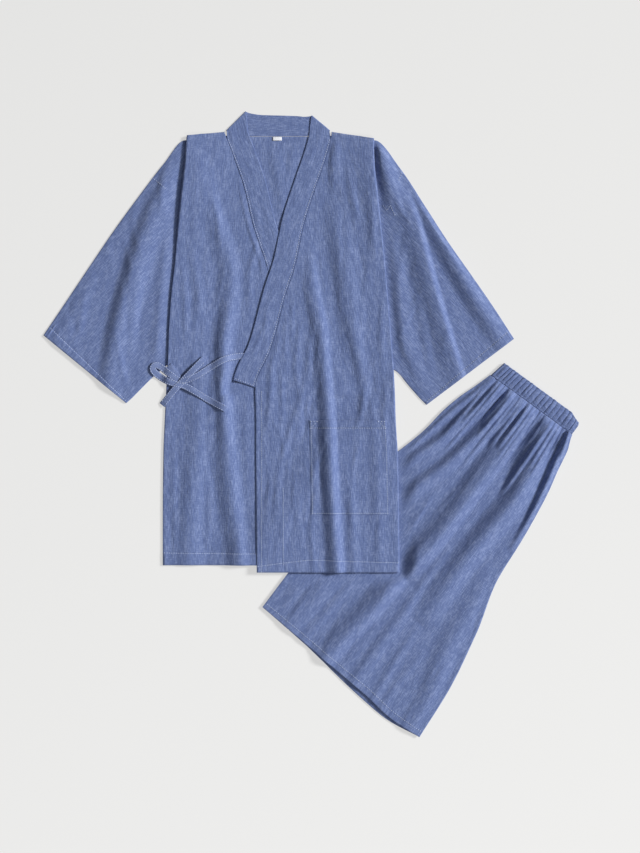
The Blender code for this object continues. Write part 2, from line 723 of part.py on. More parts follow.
def side_tie_grid(trees):
    """The side tie runs under the knot, doubles back at its bight and ends over the knot."""
    out = strap_line(SIDE_TIE_OUT)
    rows = [np.array(row) for row in strap_rows(out, trees)]
    back = [np.array(row) for row in strap_rows(strap_line(SIDE_TIE_BACK), trees, flip=-1.0)]
    run = out[-1] - out[-2]
    run = np.array([run[0], run[1], 0.0]) / math.hypot(run[0], run[1])
    middle = (rows[-1] + back[0]) / 2
    radius = (back[0][0][2] - rows[-1][0][2]) / 2
    for k in range(1, BEND_STEPS):
        angle = math.pi * k / BEND_STEPS
        rows.append(middle + run * radius * math.sin(angle) - np.array([0, 0, radius * math.cos(angle)]))
    return np.array(rows + back)


def pocket_grid(panel):
    """The pocket is made from the left front's own points, moved out."""
    heights = [LEFT_HEM_Y] + FRONT_ROWS
    first, last = (heights.index(y) for y in POCKET_ROWS)
    start, end = (FRONT_COLUMNS.index(s) for s in POCKET_COLUMNS)
    moved = panel + normals(panel) * PITCH
    return moved[first:last + 1, start:end + 1]


def label_grid():
    width, height = LABEL_SIZE
    x, y = LABEL_AT
    z = CLOTH / 2 + PITCH
    return np.array([[(x + dx * width / 2, y + dy * height / 2, z) for dx in (-1, 1)] for dy in (-1, 1)])


def main():
    for thing in list(bpy.data.objects):
        bpy.data.objects.remove(thing)
    right, left = Front(-1), Front(1)
    solid("jacket_back", back_grid(), CLOTH)
    right_front = solid("right_front", right.grid(), CLOTH)
    left_panel = left.grid()
    solid("left_front", left_panel, CLOTH)
    solid("collar", collar_grid(right, left), COLLAR_WALL)
    rings = sleeve_grid(-1, RIGHT_SLEEVE, RIGHT_SLEEVE_FOLDS, right)
    right_sleeve = solid("right_sleeve", rings, CLOTH, around=True)
    rings = sleeve_grid(1, LEFT_SLEEVE, LEFT_SLEEVE_FOLDS, left)
    solid("left_sleeve", rings, CLOTH, around=True)
    solid("pocket", pocket_grid(left_panel), CLOTH)
    solid("size_label", label_grid(), CLOTH, colour=LABEL_WHITE)
    under_ties = tops_of([right_front, right_sleeve])
    solid("front_tie", np.array(strap_rows(strap_line(FRONT_TIE), under_ties)), CLOTH)
    solid("side_tie", side_tie_grid(under_ties), CLOTH)
    solid("left_leg", leg_grid(SHORTS_LAYERS - 1, 24, TOP_LEG_ROWS), CLOTH)
    solid("right_leg", leg_grid(1, 7, UNDER_LEG_ROWS), CLOTH)
    solid("waistband", waistband_grid(), BAND_WALL, around=True)


main()
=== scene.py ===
"""A jinbei set laid flat: a short wrapped cotton jacket, and elastic-waisted shorts folded in half.

Every piece of cloth is a thin closed shell on the form of its solid in the frame, with its folds,
creases, hems and rows of stitches.  Tables are in millimetres.  The jacket's tables use its own
frame: x from the centre back line, y up from the hem; "out" is the distance from that line towards
a side.  The shorts' frame has u down from the waist and v across, towards the side fold of the legs.
"""

import math
from collections import namedtuple

import bpy
import numpy as np
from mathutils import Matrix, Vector
from mathutils.bvhtree import BVHTree


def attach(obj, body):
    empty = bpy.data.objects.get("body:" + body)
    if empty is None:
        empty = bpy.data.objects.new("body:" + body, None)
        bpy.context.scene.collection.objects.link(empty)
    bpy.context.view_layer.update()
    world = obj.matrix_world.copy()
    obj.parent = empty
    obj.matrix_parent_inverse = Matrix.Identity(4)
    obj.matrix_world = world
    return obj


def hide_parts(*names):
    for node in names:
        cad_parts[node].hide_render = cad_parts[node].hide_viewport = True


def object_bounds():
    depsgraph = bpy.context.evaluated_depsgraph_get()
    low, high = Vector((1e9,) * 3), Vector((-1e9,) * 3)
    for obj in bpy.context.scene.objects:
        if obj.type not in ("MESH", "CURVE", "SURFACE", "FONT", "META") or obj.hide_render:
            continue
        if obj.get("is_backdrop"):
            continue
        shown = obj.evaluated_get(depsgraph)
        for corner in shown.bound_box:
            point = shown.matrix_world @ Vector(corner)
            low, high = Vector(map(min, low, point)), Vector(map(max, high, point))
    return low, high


bl_info = {
    "name": "Jinbei set",
    "version": (1, 0, 0),
    "blender": (4, 5, 0),
    "location": "View3D > Sidebar > Jinbei",
    "description": "Makes a jinbei jacket and shorts, laid flat",
    "category": "Add Mesh",
}

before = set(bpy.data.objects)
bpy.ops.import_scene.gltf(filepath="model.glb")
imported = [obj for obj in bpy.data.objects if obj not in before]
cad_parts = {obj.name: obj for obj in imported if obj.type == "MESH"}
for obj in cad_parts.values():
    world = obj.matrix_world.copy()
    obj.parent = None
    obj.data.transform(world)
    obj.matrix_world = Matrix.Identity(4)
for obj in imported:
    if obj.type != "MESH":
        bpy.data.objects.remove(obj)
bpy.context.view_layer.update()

MM = 0.001

# Cloth, as in the solids
CLOTH = 1.0                    # wall of a panel
GAP = 0.3                      # between pieces at a seam, and between layers
PITCH = CLOTH + GAP            # from the middle of one layer to the middle of the next
COLLAR_WALL = 1.4              # the collar band is cloth folded double
BAND_WALL = 1.6                # so is the waistband
RIM = 0.6                      # an edge is rounded over this much
EDGE_SHARE = 0.4               # and keeps this share of its wall at the very edge

# Jacket
JACKET_AT = (-52.7, -249.8)    # its hem on the centre back line
NECK_Y = 746.0                 # the shoulder line where it meets the collar
RIGHT_DROP = 6.0               # the shoulder line falls this far on its way out
LEFT_DROP = 11.0
RIGHT_HEM_Y = 10.0
LEFT_HEM_Y = -2.0
BACK_HEM_Y = 13.0
RETURN = 35.0                  # cloth turned back under each side fold
COLLAR_WIDTH = 38.0
COLLAR_END_Y = 312.0
RIGHT_NECK_RISE = 35.0
LEFT_NECK_RISE = 28.0
NECK_BACK_Y = 739.0
UNDERARM_Y = 345.0
LEFT_OVER = 2.1                # the left front clears the right one and its collar by this much
LEFT_OVER_LOW = 1.5            # and less below the collar
SHOULDER_ROLL = 2.5            # the shoulder line is rounded over this much
POCKET_Y = (96.0, 256.0)
POCKET_SHARES = (0.387, 0.94)
POCKET_WALL = 0.5
LABEL_SIZE = (15.0, 6.0)
LABEL_AT = (-4.5, 734.5)
STRAP_PITCH = 1.2               # from one crossing strap to the next
STRAP_WALL = 0.9

# Shorts
SHORTS_AT = (394.5, 52.8)      # middle of the waist
SHORTS_TURN = math.radians(-126.2)
BAND_HEIGHT = 30.0
BAND_TOP = -2.0
LEG_TOP = 28.3
LEG_LENGTH = 584.0
SHORTS_LAYERS = 4
SHORTS_RIDE = 5.8
SHORTS_SLACK = 0.9

Outline = namedtuple("Outline", "y right_seam left_seam right_fold left_fold")
OUTLINE = [
    Outline(0, -43, -39, 199, 203),
    Outline(100, -43, -40, 199, 202),
    Outline(200, -42, -41, 198, 200),
    Outline(250, -42, -41, 196, 197),
    Outline(312, -42, -42, 193, 195),
    Outline(374, -17, -17, 190, 191),
    Outline(403, -8, -8, 189, 189),
    Outline(468, 9, 9, 185, 183),
    Outline(520, 23, 26, 179, 179),
    Outline(590, 46, 41, 173, 172),
    Outline(650, 60, 60, 167, 166),
    Outline(705, 79, 79, 161, 161),
    Outline(736, 91, 87, 159, 160),
    Outline(746, 94, 88, 158, 160),
]

Puff = namedtuple("Puff", "y height")
SIDE_PUFF = [
    Puff(0, 1.2),
    Puff(250, 1.2),
    Puff(345, 1.0),
    Puff(520, 1.8),
    Puff(660, 5.5),
    Puff(746, 2.5),
]

Ring = namedtuple("Ring", "top_out top_y under_out under_y")
RIGHT_SLEEVE = [
    Ring(124, 729, 158, 358),
    Ring(161, 731, 193, 350),
    Ring(198, 690, 206, 339),
    Ring(240, 635, 221, 326),
    Ring(280, 580, 234, 313),
    Ring(320, 521, 244, 303),
    Ring(360, 461, 253, 294),
    Ring(401, 400, 262, 286),
]
LEFT_SLEEVE = [
    Ring(124, 729, 158, 354),
    Ring(161, 731, 192, 344),
    Ring(205, 682, 204, 335),
    Ring(247, 618, 212, 325),
    Ring(285, 559, 221, 314),
    Ring(322, 506, 229, 305),
    Ring(360, 451, 237, 296),
    Ring(397, 394, 250, 283),
]

# Depth of the hems where they are stitched, at places across them.
Depth = namedtuple("Depth", "at depth")
RIGHT_HEM = [Depth(-205, 21), Depth(-120, 20), Depth(-40, 19.5), Depth(43, 19.5)]
LEFT_HEM = [Depth(-40, 10), Depth(-10, 14), Depth(30, 19), Depth(52, 21), Depth(130, 18.5), Depth(205, 16.5)]
BACK_HEM = [Depth(-205, 20), Depth(205, 20)]
SHORTS_HEM_DEPTH = [Depth(-170, 9), Depth(0, 11), Depth(90, 12), Depth(174, 10)]
CUFF_DEPTH = 17.0

# Folds and creases: the crest's run as (across, along) points, its reach on each side, its height.
Fold = namedtuple("Fold", "path left right height")
RIGHT_FRONT_FOLDS = [
    Fold(((-136, 730), (-119, 631), (-94, 554), (-84, 503), (-87, 435), (-95, 376), (-95, 291), (-91, 223),
          (-83, 138), (-70, 36), (-56, -120), (-50, -300)), 30, 22, 6.6),
    Fold(((-88, 460), (-96, 376), (-95, 291), (-91, 210)), 17, 16, 3.7),
    Fold(((-154, 760), (-147, 650), (-140, 540)), 24, 26, 2.8),
    Fold(((-134, 380), (-137, 270), (-144, 180), (-152, 70), (-158, -120)), 34, 30, 5.1),
]
RIGHT_FRONT_CREASES = [
    Fold(((-66, 670), (-62, 640), (-48, 580), (-31, 529), (-20, 480)), 9, 10, 2.2),
    Fold(((-28, 620), (-36, 560), (-52, 500), (-50, 430)), 9, 11, 1.2),
    Fold(((-112, 640), (-104, 590), (-100, 540)), 9, 10, 1.4),
    Fold(((-150, 560), (-140, 480), (-134, 420)), 12, 14, 1.4),
    Fold(((-165, 520), (-160, 450), (-158, 380)), 9, 10, 1.2),
    Fold(((-112, 330), (-118, 240), (-112, 160)), 10, 12, 1.4),
    Fold(((-124, 190), (-120, 120), (-126, 40)), 9, 11, 1.2),
    Fold(((-178, 230), (-180, 130), (-178, 30)), 9, 11, 1.2),
    Fold(((-52, 330), (-56, 230), (-50, 130)), 8, 9, 1.0),
]
LEFT_FRONT_FOLDS = [
    Fold(((50, 560), (58, 478), (72, 401), (78, 325), (83, 268), (88, 155), (97, 19), (106, -100), (110, -300)),
         23, 14, 9.0),
    Fold(((90, 640), (96, 590), (108, 500), (118, 420), (124, 350)), 26, 34, 4.6),
    Fold(((118, 440), (130, 380), (140, 320), (146, 250)), 15, 17, 3.0),
    Fold(((112, 200), (122, 100), (128, -120)), 12, 16, 1.8),
    Fold(((160, 300), (168, 140), (170, -60)), 20, 22, 2.3),
]
LEFT_FRONT_CREASES = [
    Fold(((86, 760), (90, 700), (93, 640)), 12, 18, 2.4),
    Fold(((150, 660), (158, 590), (160, 500)), 14, 14, 1.6),
    Fold(((118, 700), (122, 640), (128, 580)), 10, 12, 1.2),
    Fold(((-4, 410), (-12, 359), (-17, 291), (-21, 230)), 8, 10, 2.0),
    Fold(((52, 380), (46, 338), (29, 274), (3, 189), (-5, 146), (-8, 80)), 8, 10, 1.5),
    Fold(((-14, 265), (6, 215), (12, 170)), 6, 7, 0.9),
    Fold(((34, 420), (28, 350), (34, 290)), 8, 9, 1.4),
    Fold(((-22, 210), (-18, 150), (-24, 80)), 7, 8, 0.9),
    Fold(((58, 430), (50, 370), (54, 300)), 8, 9, 1.2),
    Fold(((14, 440), (8, 390), (10, 330)), 8, 9, 1.2),
    Fold(((60, 130), (56, 60), (60, -40)), 9, 10, 1.2),
    Fold(((150, 345), (144, 300), (132, 240)), 8, 9, 1.6),
    Fold(((152, 350), (154, 300), (158, 250)), 7, 8, 1.2),
    Fold(((182, 330), (178, 250), (182, 160)), 9, 10, 1.2),
    Fold(((176, 470), (172, 400), (176, 330)), 9, 11, 1.4),
]
RIGHT_SLEEVE_FOLDS = [
    Fold(((-190, 695), (-206, 640), (-246, 520), (-280, 390), (-296, 280)), 25, 38, 9.0),
    Fold(((-318, 560), (-350, 460), (-372, 370)), 34, 36, 2.5),
    Fold(((-184, 580), (-192, 450), (-204, 370), (-214, 280)), 26, 24, 3.0),
]
RIGHT_SLEEVE_CREASES = [
    Fold(((-190, 700), (-200, 650), (-200, 600)), 10, 12, 2.0),
    Fold(((-232, 520), (-246, 440), (-252, 350)), 12, 12, 1.6),
    Fold(((-330, 480), (-338, 420), (-350, 380)), 9, 10, 1.2),
]
LEFT_SLEEVE_FOLDS = [
    Fold(((210, 672), (216, 642), (232, 594), (249, 530), (266, 466), (283, 410), (304, 342), (318, 290)),
         42, 10, 9.0),
    Fold(((184, 560), (198, 470), (206, 400), (228, 340), (240, 280)), 16, 30, 3.0),
]
LEFT_SLEEVE_CREASES = [
    Fold(((148, 860), (166, 730), (176, 690), (186, 650), (190, 626), (190, 602)), 24, 26, 9.0),
    Fold(((240, 660), (263, 588), (285, 545), (306, 506), (332, 460), (362, 412), (392, 360)), 26, 24, 8.5),
    Fold(((196, 640), (206, 610), (222, 590)), 8, 9, 1.4),
    Fold(((232, 470), (246, 400), (258, 330)), 11, 12, 1.3),
]
SHORTS_FOLDS = [
    Fold(((-6, -160), (1, 60), (2, 110), (2, 198), (2, 264), (-1, 336), (-11, 395), (-17, 473), (-26, 533),
          (-40, 700)), 36, 19, 13.0),
    Fold(((36, -160), (46, 60), (60, 125), (67, 183), (62, 261), (60, 320), (64, 440)), 31, 28, 14.3),
    Fold(((-38, -120), (-42, 72), (-50, 131), (-60, 191), (-80, 258), (-98, 360)), 17, 20, 9.8),
    Fold(((-62, -80), (-71, 60), (-82, 110), (-95, 166), (-119, 229), (-140, 320)), 14, 16, 8.5),
    Fold(((22, 400), (28, 450), (28, 523), (32, 640)), 14, 20, 3.4),
    Fold(((104, 290), (114, 344), (122, 435), (148, 538), (160, 640)), 28, 26, 4.5),
    Fold(((-92, 330), (-104, 420), (-118, 640)), 26, 30, 3.4),
]
SHORTS_CREASES = [
    Fold(((62, -80), (75, 41), (86, 85), (96, 129), (106, 183), (113, 250)), 8, 15, 10.0),
    Fold(((-84, -20), (-92, 60), (-104, 105), (-119, 170), (-136, 250)), 7, 8, 4.0),
    Fold(((-24, -10), (-28, 60), (-34, 120), (-36, 190)), 8, 9, 3.8),
    Fold(((18, -10), (22, 60), (27, 130)), 8, 9, 3.5),
    Fold(((-12, 300), (-20, 400), (-16, 470)), 9, 10, 1.2),
    Fold(((30, 300), (26, 380), (34, 470)), 10, 12, 1.8),
    Fold(((-70, 420), (-76, 500), (-84, 600)), 12, 13, 1.8),
    Fold(((62, 440), (66, 520), (78, 620)), 10, 12, 2.0),
    Fold(((96, 470), (92, 540), (98, 630)), 10, 11, 1.5),
]

# Small creases are scattered with a fixed seed: a box, how many, their lean, length and height.
Scatter = namedtuple("Scatter", "seed count left right low high lean length reach height")
RIGHT_FRONT_SCATTER = [
    Scatter(11, 15, -190, -20, 20, 420, 0.05, (50, 130), (5, 10), (0.3, 0.9)),
    Scatter(12, 16, -160, 20, 400, 720, 0.15, (40, 120), (6, 11), (0.3, 0.8)),
]
LEFT_FRONT_SCATTER = [
    Scatter(21, 44, -30, 70, 10, 430, 0.1, (40, 120), (4, 8), (0.3, 0.9)),
    Scatter(22, 22, 60, 195, 10, 430, 0.0, (50, 130), (5, 10), (0.3, 0.8)),
    Scatter(23, 16, 50, 165, 430, 720, -0.05, (50, 140), (6, 11), (0.3, 0.8)),
]
RIGHT_SLEEVE_SCATTER = [Scatter(31, 22, -380, -190, 320, 680, -0.25, (40, 120), (6, 11), (0.3, 0.7))]
LEFT_SLEEVE_SCATTER = [Scatter(41, 20, 190, 370, 320, 660, 0.3, (40, 120), (6, 11), (0.3, 0.7))]
SHORTS_SCATTER = [
    Scatter(51, 30, -150, 150, 150, 560, 0.0, (60, 150), (5, 10), (0.3, 0.9)),
    Scatter(52, 20, -160, 160, 460, 600, 0.1, (40, 100), (5, 9), (0.3, 0.8)),
]

Leg = namedtuple("Leg", "u seam side")
LEGS = [
    Leg(0, -82, 79),
    Leg(26, -90, 79),
    Leg(55, -99, 89),
    Leg(93, -112, 96),
    Leg(128, -120, 104),
    Leg(167, -125, 110),
    Leg(226, -140, 117),
    Leg(290, -163, 122),
    Leg(390, -167, 148),
    Leg(503, -169, 168),
    Leg(584, -170, 174),
]
Hem = namedtuple("Hem", "v u under")
SHORTS_HEM = [
    Hem(-170, 575, 0),
    Hem(-60, 583, 2),
    Hem(0, 588, 6),
    Hem(58, 592, 9),
    Hem(120, 599, 5),
    Hem(174, 596, 0),
]

Strap = namedtuple("Strap", "x y under")
FRONT_TIE = [
    Strap(-56, 365, 0),
    Strap(-70, 365, 0),
    Strap(-92, 360, 0),
    Strap(-118, 346, 0.2),
    Strap(-140, 332, 1),
    Strap(-167, 323, 1),
    Strap(-186, 334, 1),
    Strap(-204, 348, 1),
    Strap(-213, 349, 1),
    Strap(-215, 341, 1),
    Strap(-202, 329, 1.1),
    Strap(-184, 320, 2),
    Strap(-163, 315, 2),
    Strap(-144, 305, 1),
    Strap(-121, 291, 0),
    Strap(-91, 275, 0),
]
SIDE_TIE_OUT = [
    Strap(-188, 350, 0),
    Strap(-181, 340, 0),
    Strap(-171, 327, 0),
    Strap(-161, 326, 0),
    Strap(-150, 338, 0),
    Strap(-129, 360, 0),
]
SIDE_TIE_BACK = [
    Strap(-129, 360, 1),
    Strap(-150, 338, 3),
    Strap(-167, 320, 3),
    Strap(-177, 310, 3),
    Strap(-187, 298, 1.4),
    Strap(-200, 282, 0.6),
]


# Sizes and colours that a user may change

class JinbeiSizes(bpy.types.PropertyGroup):
    crease_strength: bpy.props.FloatProperty(
        name="Crease strength", description="Height of the folds and creases, 1 as drawn",
        default=1.0, min=0.0, max=1.5, subtype="FACTOR")
    tie_width: bpy.props.FloatProperty(
        name="Tie width", description="Width of the tie straps",
        default=0.0112, min=0.006, max=0.016, unit="LENGTH")
    gathers: bpy.props.IntProperty(
        name="Gathers", description="Pleats across the elastic waist",
        default=20, min=8, max=30)
    stitch_length: bpy.props.FloatProperty(
        name="Stitch length", description="Length of one stitch of the topstitching",
        default=0.0031, min=0.002, max=0.006, unit="LENGTH")
    stitch_gap: bpy.props.FloatProperty(
        name="Stitch gap", description="Cloth that shows between two stitches",
        default=0.0009, min=0.0003, max=0.003, unit="LENGTH")
    thread_width: bpy.props.FloatProperty(
        name="Thread width", description="Thickness of the topstitching thread",
        default=0.0010, min=0.0003, max=0.0012, unit="LENGTH")


class JinbeiColours(bpy.types.PropertyGroup):
    cloth: bpy.props.StringProperty(
        name="Cloth", description="Chambray where blue warp and white weft mix evenly, as sRGB hex",
        default="61729F")
    warp: bpy.props.StringProperty(
        name="Warp", description="Where the blue warp lies on top, as sRGB hex",
        default="566694")
    weft: bpy.props.StringProperty(
        name="Weft", description="Where a thick white weft thread lies on top, as sRGB hex",
        default="7C8BB5")
    thread: bpy.props.StringProperty(
        name="Thread", description="Topstitching thread, as sRGB hex",
        default="C4CEE6")
    label: bpy.props.StringProperty(
        name="Label", description="Woven size label, as sRGB hex",
        default="F2F3F6")
    # The floor also glows in its finish: painted light that fades the set's cast shadows.
    floor: bpy.props.StringProperty(
        name="Floor", description="The light table that the set lies on, as sRGB hex",
        default="959594")


# Curves, folds and shells

def curve(xs, ys, at):
    """Reads a smooth curve through points, one that never overshoots them."""
    xs, ys = np.asarray(xs, dtype=float), np.asarray(ys, dtype=float)
    at = np.clip(at, xs[0], xs[-1])
    steps = np.diff(ys) / np.diff(xs)
    before, after = steps[:-1], steps[1:]
    same_way = before * after > 0
    inner = np.where(same_way, 2 * before * after / np.where(same_way, before + after, 1.0), 0.0)
    slopes = np.concatenate([steps[:1], inner, steps[-1:]])
    i = np.clip(np.searchsorted(xs, at, side="right") - 1, 0, len(xs) - 2)
    width = xs[i + 1] - xs[i]
    t = (at - xs[i]) / width
    return ((1 + 2 * t) * (1 - t) ** 2 * ys[i] + t * (1 - t) ** 2 * width * slopes[i]
            + t * t * (3 - 2 * t) * ys[i + 1] + t * t * (t - 1) * width * slopes[i + 1])


def smooth(table, column, at):
    """Reads a table's column at places of its first one."""
    return curve([row[0] for row in table], [getattr(row, column) for row in table], at)


def ease(value, start, end):
    """Goes smoothly from 0 at the start to 1 at the end."""
    t = np.clip((value - start) / (end - start), 0.0, 1.0)
    return t * t * (3 - 2 * t)


def scattered(scatter):
    """Small uneven creases inside a box."""
    chance = np.random.default_rng(scatter.seed)
    folds = []
    for _ in range(scatter.count):
        across = chance.uniform(scatter.left, scatter.right)
        along = chance.uniform(scatter.low, scatter.high)
        half = chance.uniform(*scatter.length) / 2
        lean = chance.normal(scatter.lean, 0.12) * half
        bow = chance.normal(0, 0.07) * half
        path = ((across - lean, along - half), (across + bow, along), (across + lean, along + half))
        height = chance.uniform(*scatter.height) * chance.choice([-1, 1, 1])
        folds.append(Fold(path, chance.uniform(*scatter.reach), chance.uniform(*scatter.reach), height))
    return folds


def relief(across, along, folds):
    """Height that a list of folds raises at places: soft ridges, or troughs where it is negative."""
    strength = bpy.context.scene.jinbei_sizes.crease_strength
    total = np.zeros(np.broadcast(across, along).shape)
    for fold in folds:
        points = sorted(fold.path, key=lambda point: point[1])
        runs, places = [point[1] for point in points], [point[0] for point in points]
        lean = (curve(runs, places, along + 3) - curve(runs, places, along - 3)) / 6
        off = (across - curve(runs, places, along)) / np.hypot(1, lean)
        near = np.clip(np.abs(off) / np.where(off > 0, fold.right, fold.left), 0, 1)
        share = np.clip((along - runs[0]) / (runs[-1] - runs[0]), 0, 1)
        ends = np.maximum(np.sin(np.pi * share), 0) ** 0.7
        total += fold.height * ends * np.cos(np.pi * near / 2) ** 2
    return total * strength


def ripple(at, seed):
    """An uneven wave from -1 to 1, such as a hem's pucker."""
    return (np.sin(at / 2.3 + seed) + np.sin(at / 3.7 + 2.1 * seed) + np.sin(at / 5.9 + 0.7 * seed)) / 3


# A piece of cloth: points of its middle, its wall, what is added on its outer face, and its grain.
Cloth = namedtuple("Cloth", "points wall rise grain")


def grain_of(points, row=0, column=0):
    """Distances along the cloth from one column and one row, for the weave to follow."""
    across = np.linalg.norm(np.diff(points, axis=1), axis=2)
    across = np.concatenate([np.zeros((len(points), 1)), np.cumsum(across, axis=1)], axis=1)
    across = across - across[:, column:column + 1]
    down = np.linalg.norm(np.diff(points[:, column], axis=0), axis=1)
    down = np.concatenate([[0.0], np.cumsum(down)])
    down = np.repeat((down - down[row])[:, None], points.shape[1], axis=1)
    return np.stack([across, down], axis=2)


def turned_grain(points, angle):
    """The weave of cloth that lies flat, turned by an angle."""
    c, s = math.cos(angle), math.sin(angle)
    x, y = points[..., 0], points[..., 1]
    return np.stack([x * c + y * s, y * c - x * s], axis=2)


def cloth_of(points, wall=CLOTH, rise=0.0, grain=None):
    shape = points.shape[:2]
    grain = grain_of(points) if grain is None else grain
    return Cloth(points, np.broadcast_to(wall, shape), np.broadcast_to(rise, shape), grain)


def with_rims(channels):
    """Adds a row of points just inside the first and last rows, for a rounded edge."""
    def inside(edge, inner):
        gap = np.linalg.norm(inner[:, :3] - edge[:, :3], axis=1, keepdims=True)
        return edge + (inner - edge) * RIM / np.maximum(gap, 2 * RIM)

    first, last = inside(channels[0], channels[1]), inside(channels[-1], channels[-2])
    return np.concatenate([channels[:1], first[None], channels[1:-1], last[None], channels[-1:]])


def normals(points, around):
    """Unit normals of a grid; around joins its last column to its first."""
    down = np.gradient(points, axis=0)
    if around:
        across = (np.roll(points, -1, axis=1) - np.roll(points, 1, axis=1)) / 2
    else:
        across = np.gradient(points, axis=1)
    found = np.cross(across, down)
    return found / np.maximum(np.linalg.norm(found, axis=2, keepdims=True), 1e-9)


def shell(name, cloth, finish, around=False):
    """Makes a piece of cloth a closed shell with rounded edges, in place, with its grain as a UV map."""
    channels = np.concatenate([cloth.points, cloth.grain, cloth.wall[..., None], cloth.rise[..., None]], axis=2)
    channels = with_rims(channels)
    if not around:
        channels = with_rims(channels.transpose(1, 0, 2)).transpose(1, 0, 2)
    points, grain = channels[..., :3], channels[..., 3:5]
    wall, rise = channels[..., 5:6], channels[..., 6:7]
    rows, columns = points.shape[:2]
    edge = np.ones((rows, columns, 1))
    edge[[0, -1]] = EDGE_SHARE
    if not around:
        edge[:, [0, -1]] = EDGE_SHARE
    out = normals(points, around)
    upper = points + out * (wall / 2 + rise) * edge
    lower = points - out * wall / 2 * edge
    below = rows * columns
    last = columns if around else columns - 1
    i, j = np.meshgrid(np.arange(rows - 1), np.arange(last), indexing="ij")
    k = (j + 1) % columns
    corners = np.stack([i * columns + j, i * columns + k, (i + 1) * columns + k, (i + 1) * columns + j], axis=2)
    corners = corners.reshape(-1, 4)
    grid_u = grain[..., 0]
    girth = grid_u[:, -1:] + np.linalg.norm(points[:, :1] - points[:, -1:], axis=2)
    wide_u = np.concatenate([grid_u, girth], axis=1)
    wide_v = np.concatenate([grain[..., 1], grain[:, :1, 1]], axis=1)
    step = np.stack([wide_u, wide_v], axis=2)
    face_grain = np.stack([step[i, j], step[i, j + 1], step[i + 1, j + 1], step[i + 1, j]], axis=2).reshape(-1, 4, 2)
    faces = [corners, corners[:, ::-1] + below]
    grains = [face_grain, face_grain[:, ::-1]]

    def rim_faces(edge_points, edge_grain):
        """A strip that joins the outer and inner faces along one edge."""
        a, b = edge_points[:-1], edge_points[1:]
        faces.append(np.stack([a + below, b + below, b, a], axis=1))
        grains.append(np.stack([edge_grain[:-1], edge_grain[1:], edge_grain[1:], edge_grain[:-1]], axis=1))

    first_row = np.arange(columns + 1) % columns if around else np.arange(columns)
    width = len(first_row)
    rim_faces(first_row, step[0, :width])
    rim_faces((first_row + (rows - 1) * columns)[::-1], step[-1, :width][::-1])
    if not around:
        first_column = np.arange(rows) * columns
        rim_faces(first_column[::-1], step[:, 0][::-1])
        rim_faces(first_column + columns - 1, step[:, columns - 1])
    faces, grains = np.concatenate(faces), np.concatenate(grains)
    co = np.concatenate([upper.reshape(-1, 3), lower.reshape(-1, 3)])
    co[:, 2] = np.maximum(co[:, 2], 0.0)
    co = (co + np.array([JACKET_AT[0], JACKET_AT[1], 0.0])) * MM
    mesh = bpy.data.meshes.new(name)
    mesh.from_pydata(co.tolist(), [], faces.tolist())
    layer = mesh.uv_layers.new(name="grain")
    layer.data.foreach_set("uv", (grains.reshape(-1) * MM).astype(np.float32))
    mesh.shade_smooth()
    mesh.materials.append(finish)
    made = bpy.data.objects.new(name + "_cloth", mesh)
    bpy.context.collection.objects.link(made)
    return made


def give(made, node):
    """Rides a finished piece on the body, in place of its solid."""
    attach(made, "root")
    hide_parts(node)


def finish_named(name):
    if name not in bpy.data.materials:
        raise RuntimeError(f"the finish {name!r} isn't made yet; run the finishes first")
    return bpy.data.materials[name]


# Form of the jacket and the shorts, as in the solids

def to_shorts(x, y):
    """A place in the jacket's frame, given in the shorts' frame."""
    dx = x + JACKET_AT[0] - SHORTS_AT[0]
    dy = y + JACKET_AT[1] - SHORTS_AT[1]
    c, s = math.cos(SHORTS_TURN), math.sin(SHORTS_TURN)
    return dx * c + dy * s, -dx * s + dy * c


def from_shorts(u, v):
    """A place in the shorts' frame, given in the jacket's frame."""
    c, s = math.cos(SHORTS_TURN), math.sin(SHORTS_TURN)
    return SHORTS_AT[0] + u * c - v * s - JACKET_AT[0], SHORTS_AT[1] + u * s + v * c - JACKET_AT[1]


def ride_height(x, y, slack=0.0):
    """How far the jacket is lifted by the shorts under it."""
    u, v = to_shorts(x, y)
    inside = v - smooth(LEGS, "seam", u)
    sooner = 32.0 if slack else 0.0
    return (SHORTS_RIDE + slack) * ease(inside, -95.0 - sooner, -25.0 - sooner)


def hem_warp(above, depth):
    """Moves rows near a hem, so that the one at the nominal depth follows the stitched line."""
    nominal, calm = 19.0, 60.0
    near = above * depth / nominal
    between = depth + (above - nominal) * (calm - depth) / (calm - nominal)
    return np.where(above < nominal, near, np.where(above < calm, between, above))


def hem_rows(top, pitch=3.3):
    """Distances above a hem, close together about its stitched line."""
    near = [0, 4, 8, 12, 15, 17.2, 18.3, 19, 19.7, 20.8, 23]
    return np.concatenate([near, np.arange(26.5, top - 1.5, pitch), [top]])


def hem_rise(above, at, seed):
    """A hem is cloth turned up: thicker below its stitches, drawn in along them, and puckered."""
    thick = 0.55 * (1 - ease(above, 18.2, 19.8))
    drawn = -0.4 * np.exp(-((above - 19) / 0.9) ** 2)
    pucker = 0.4 * ripple(at, seed) * np.exp(-((above - 17) / 9) ** 2)
    return thick + drawn + pucker


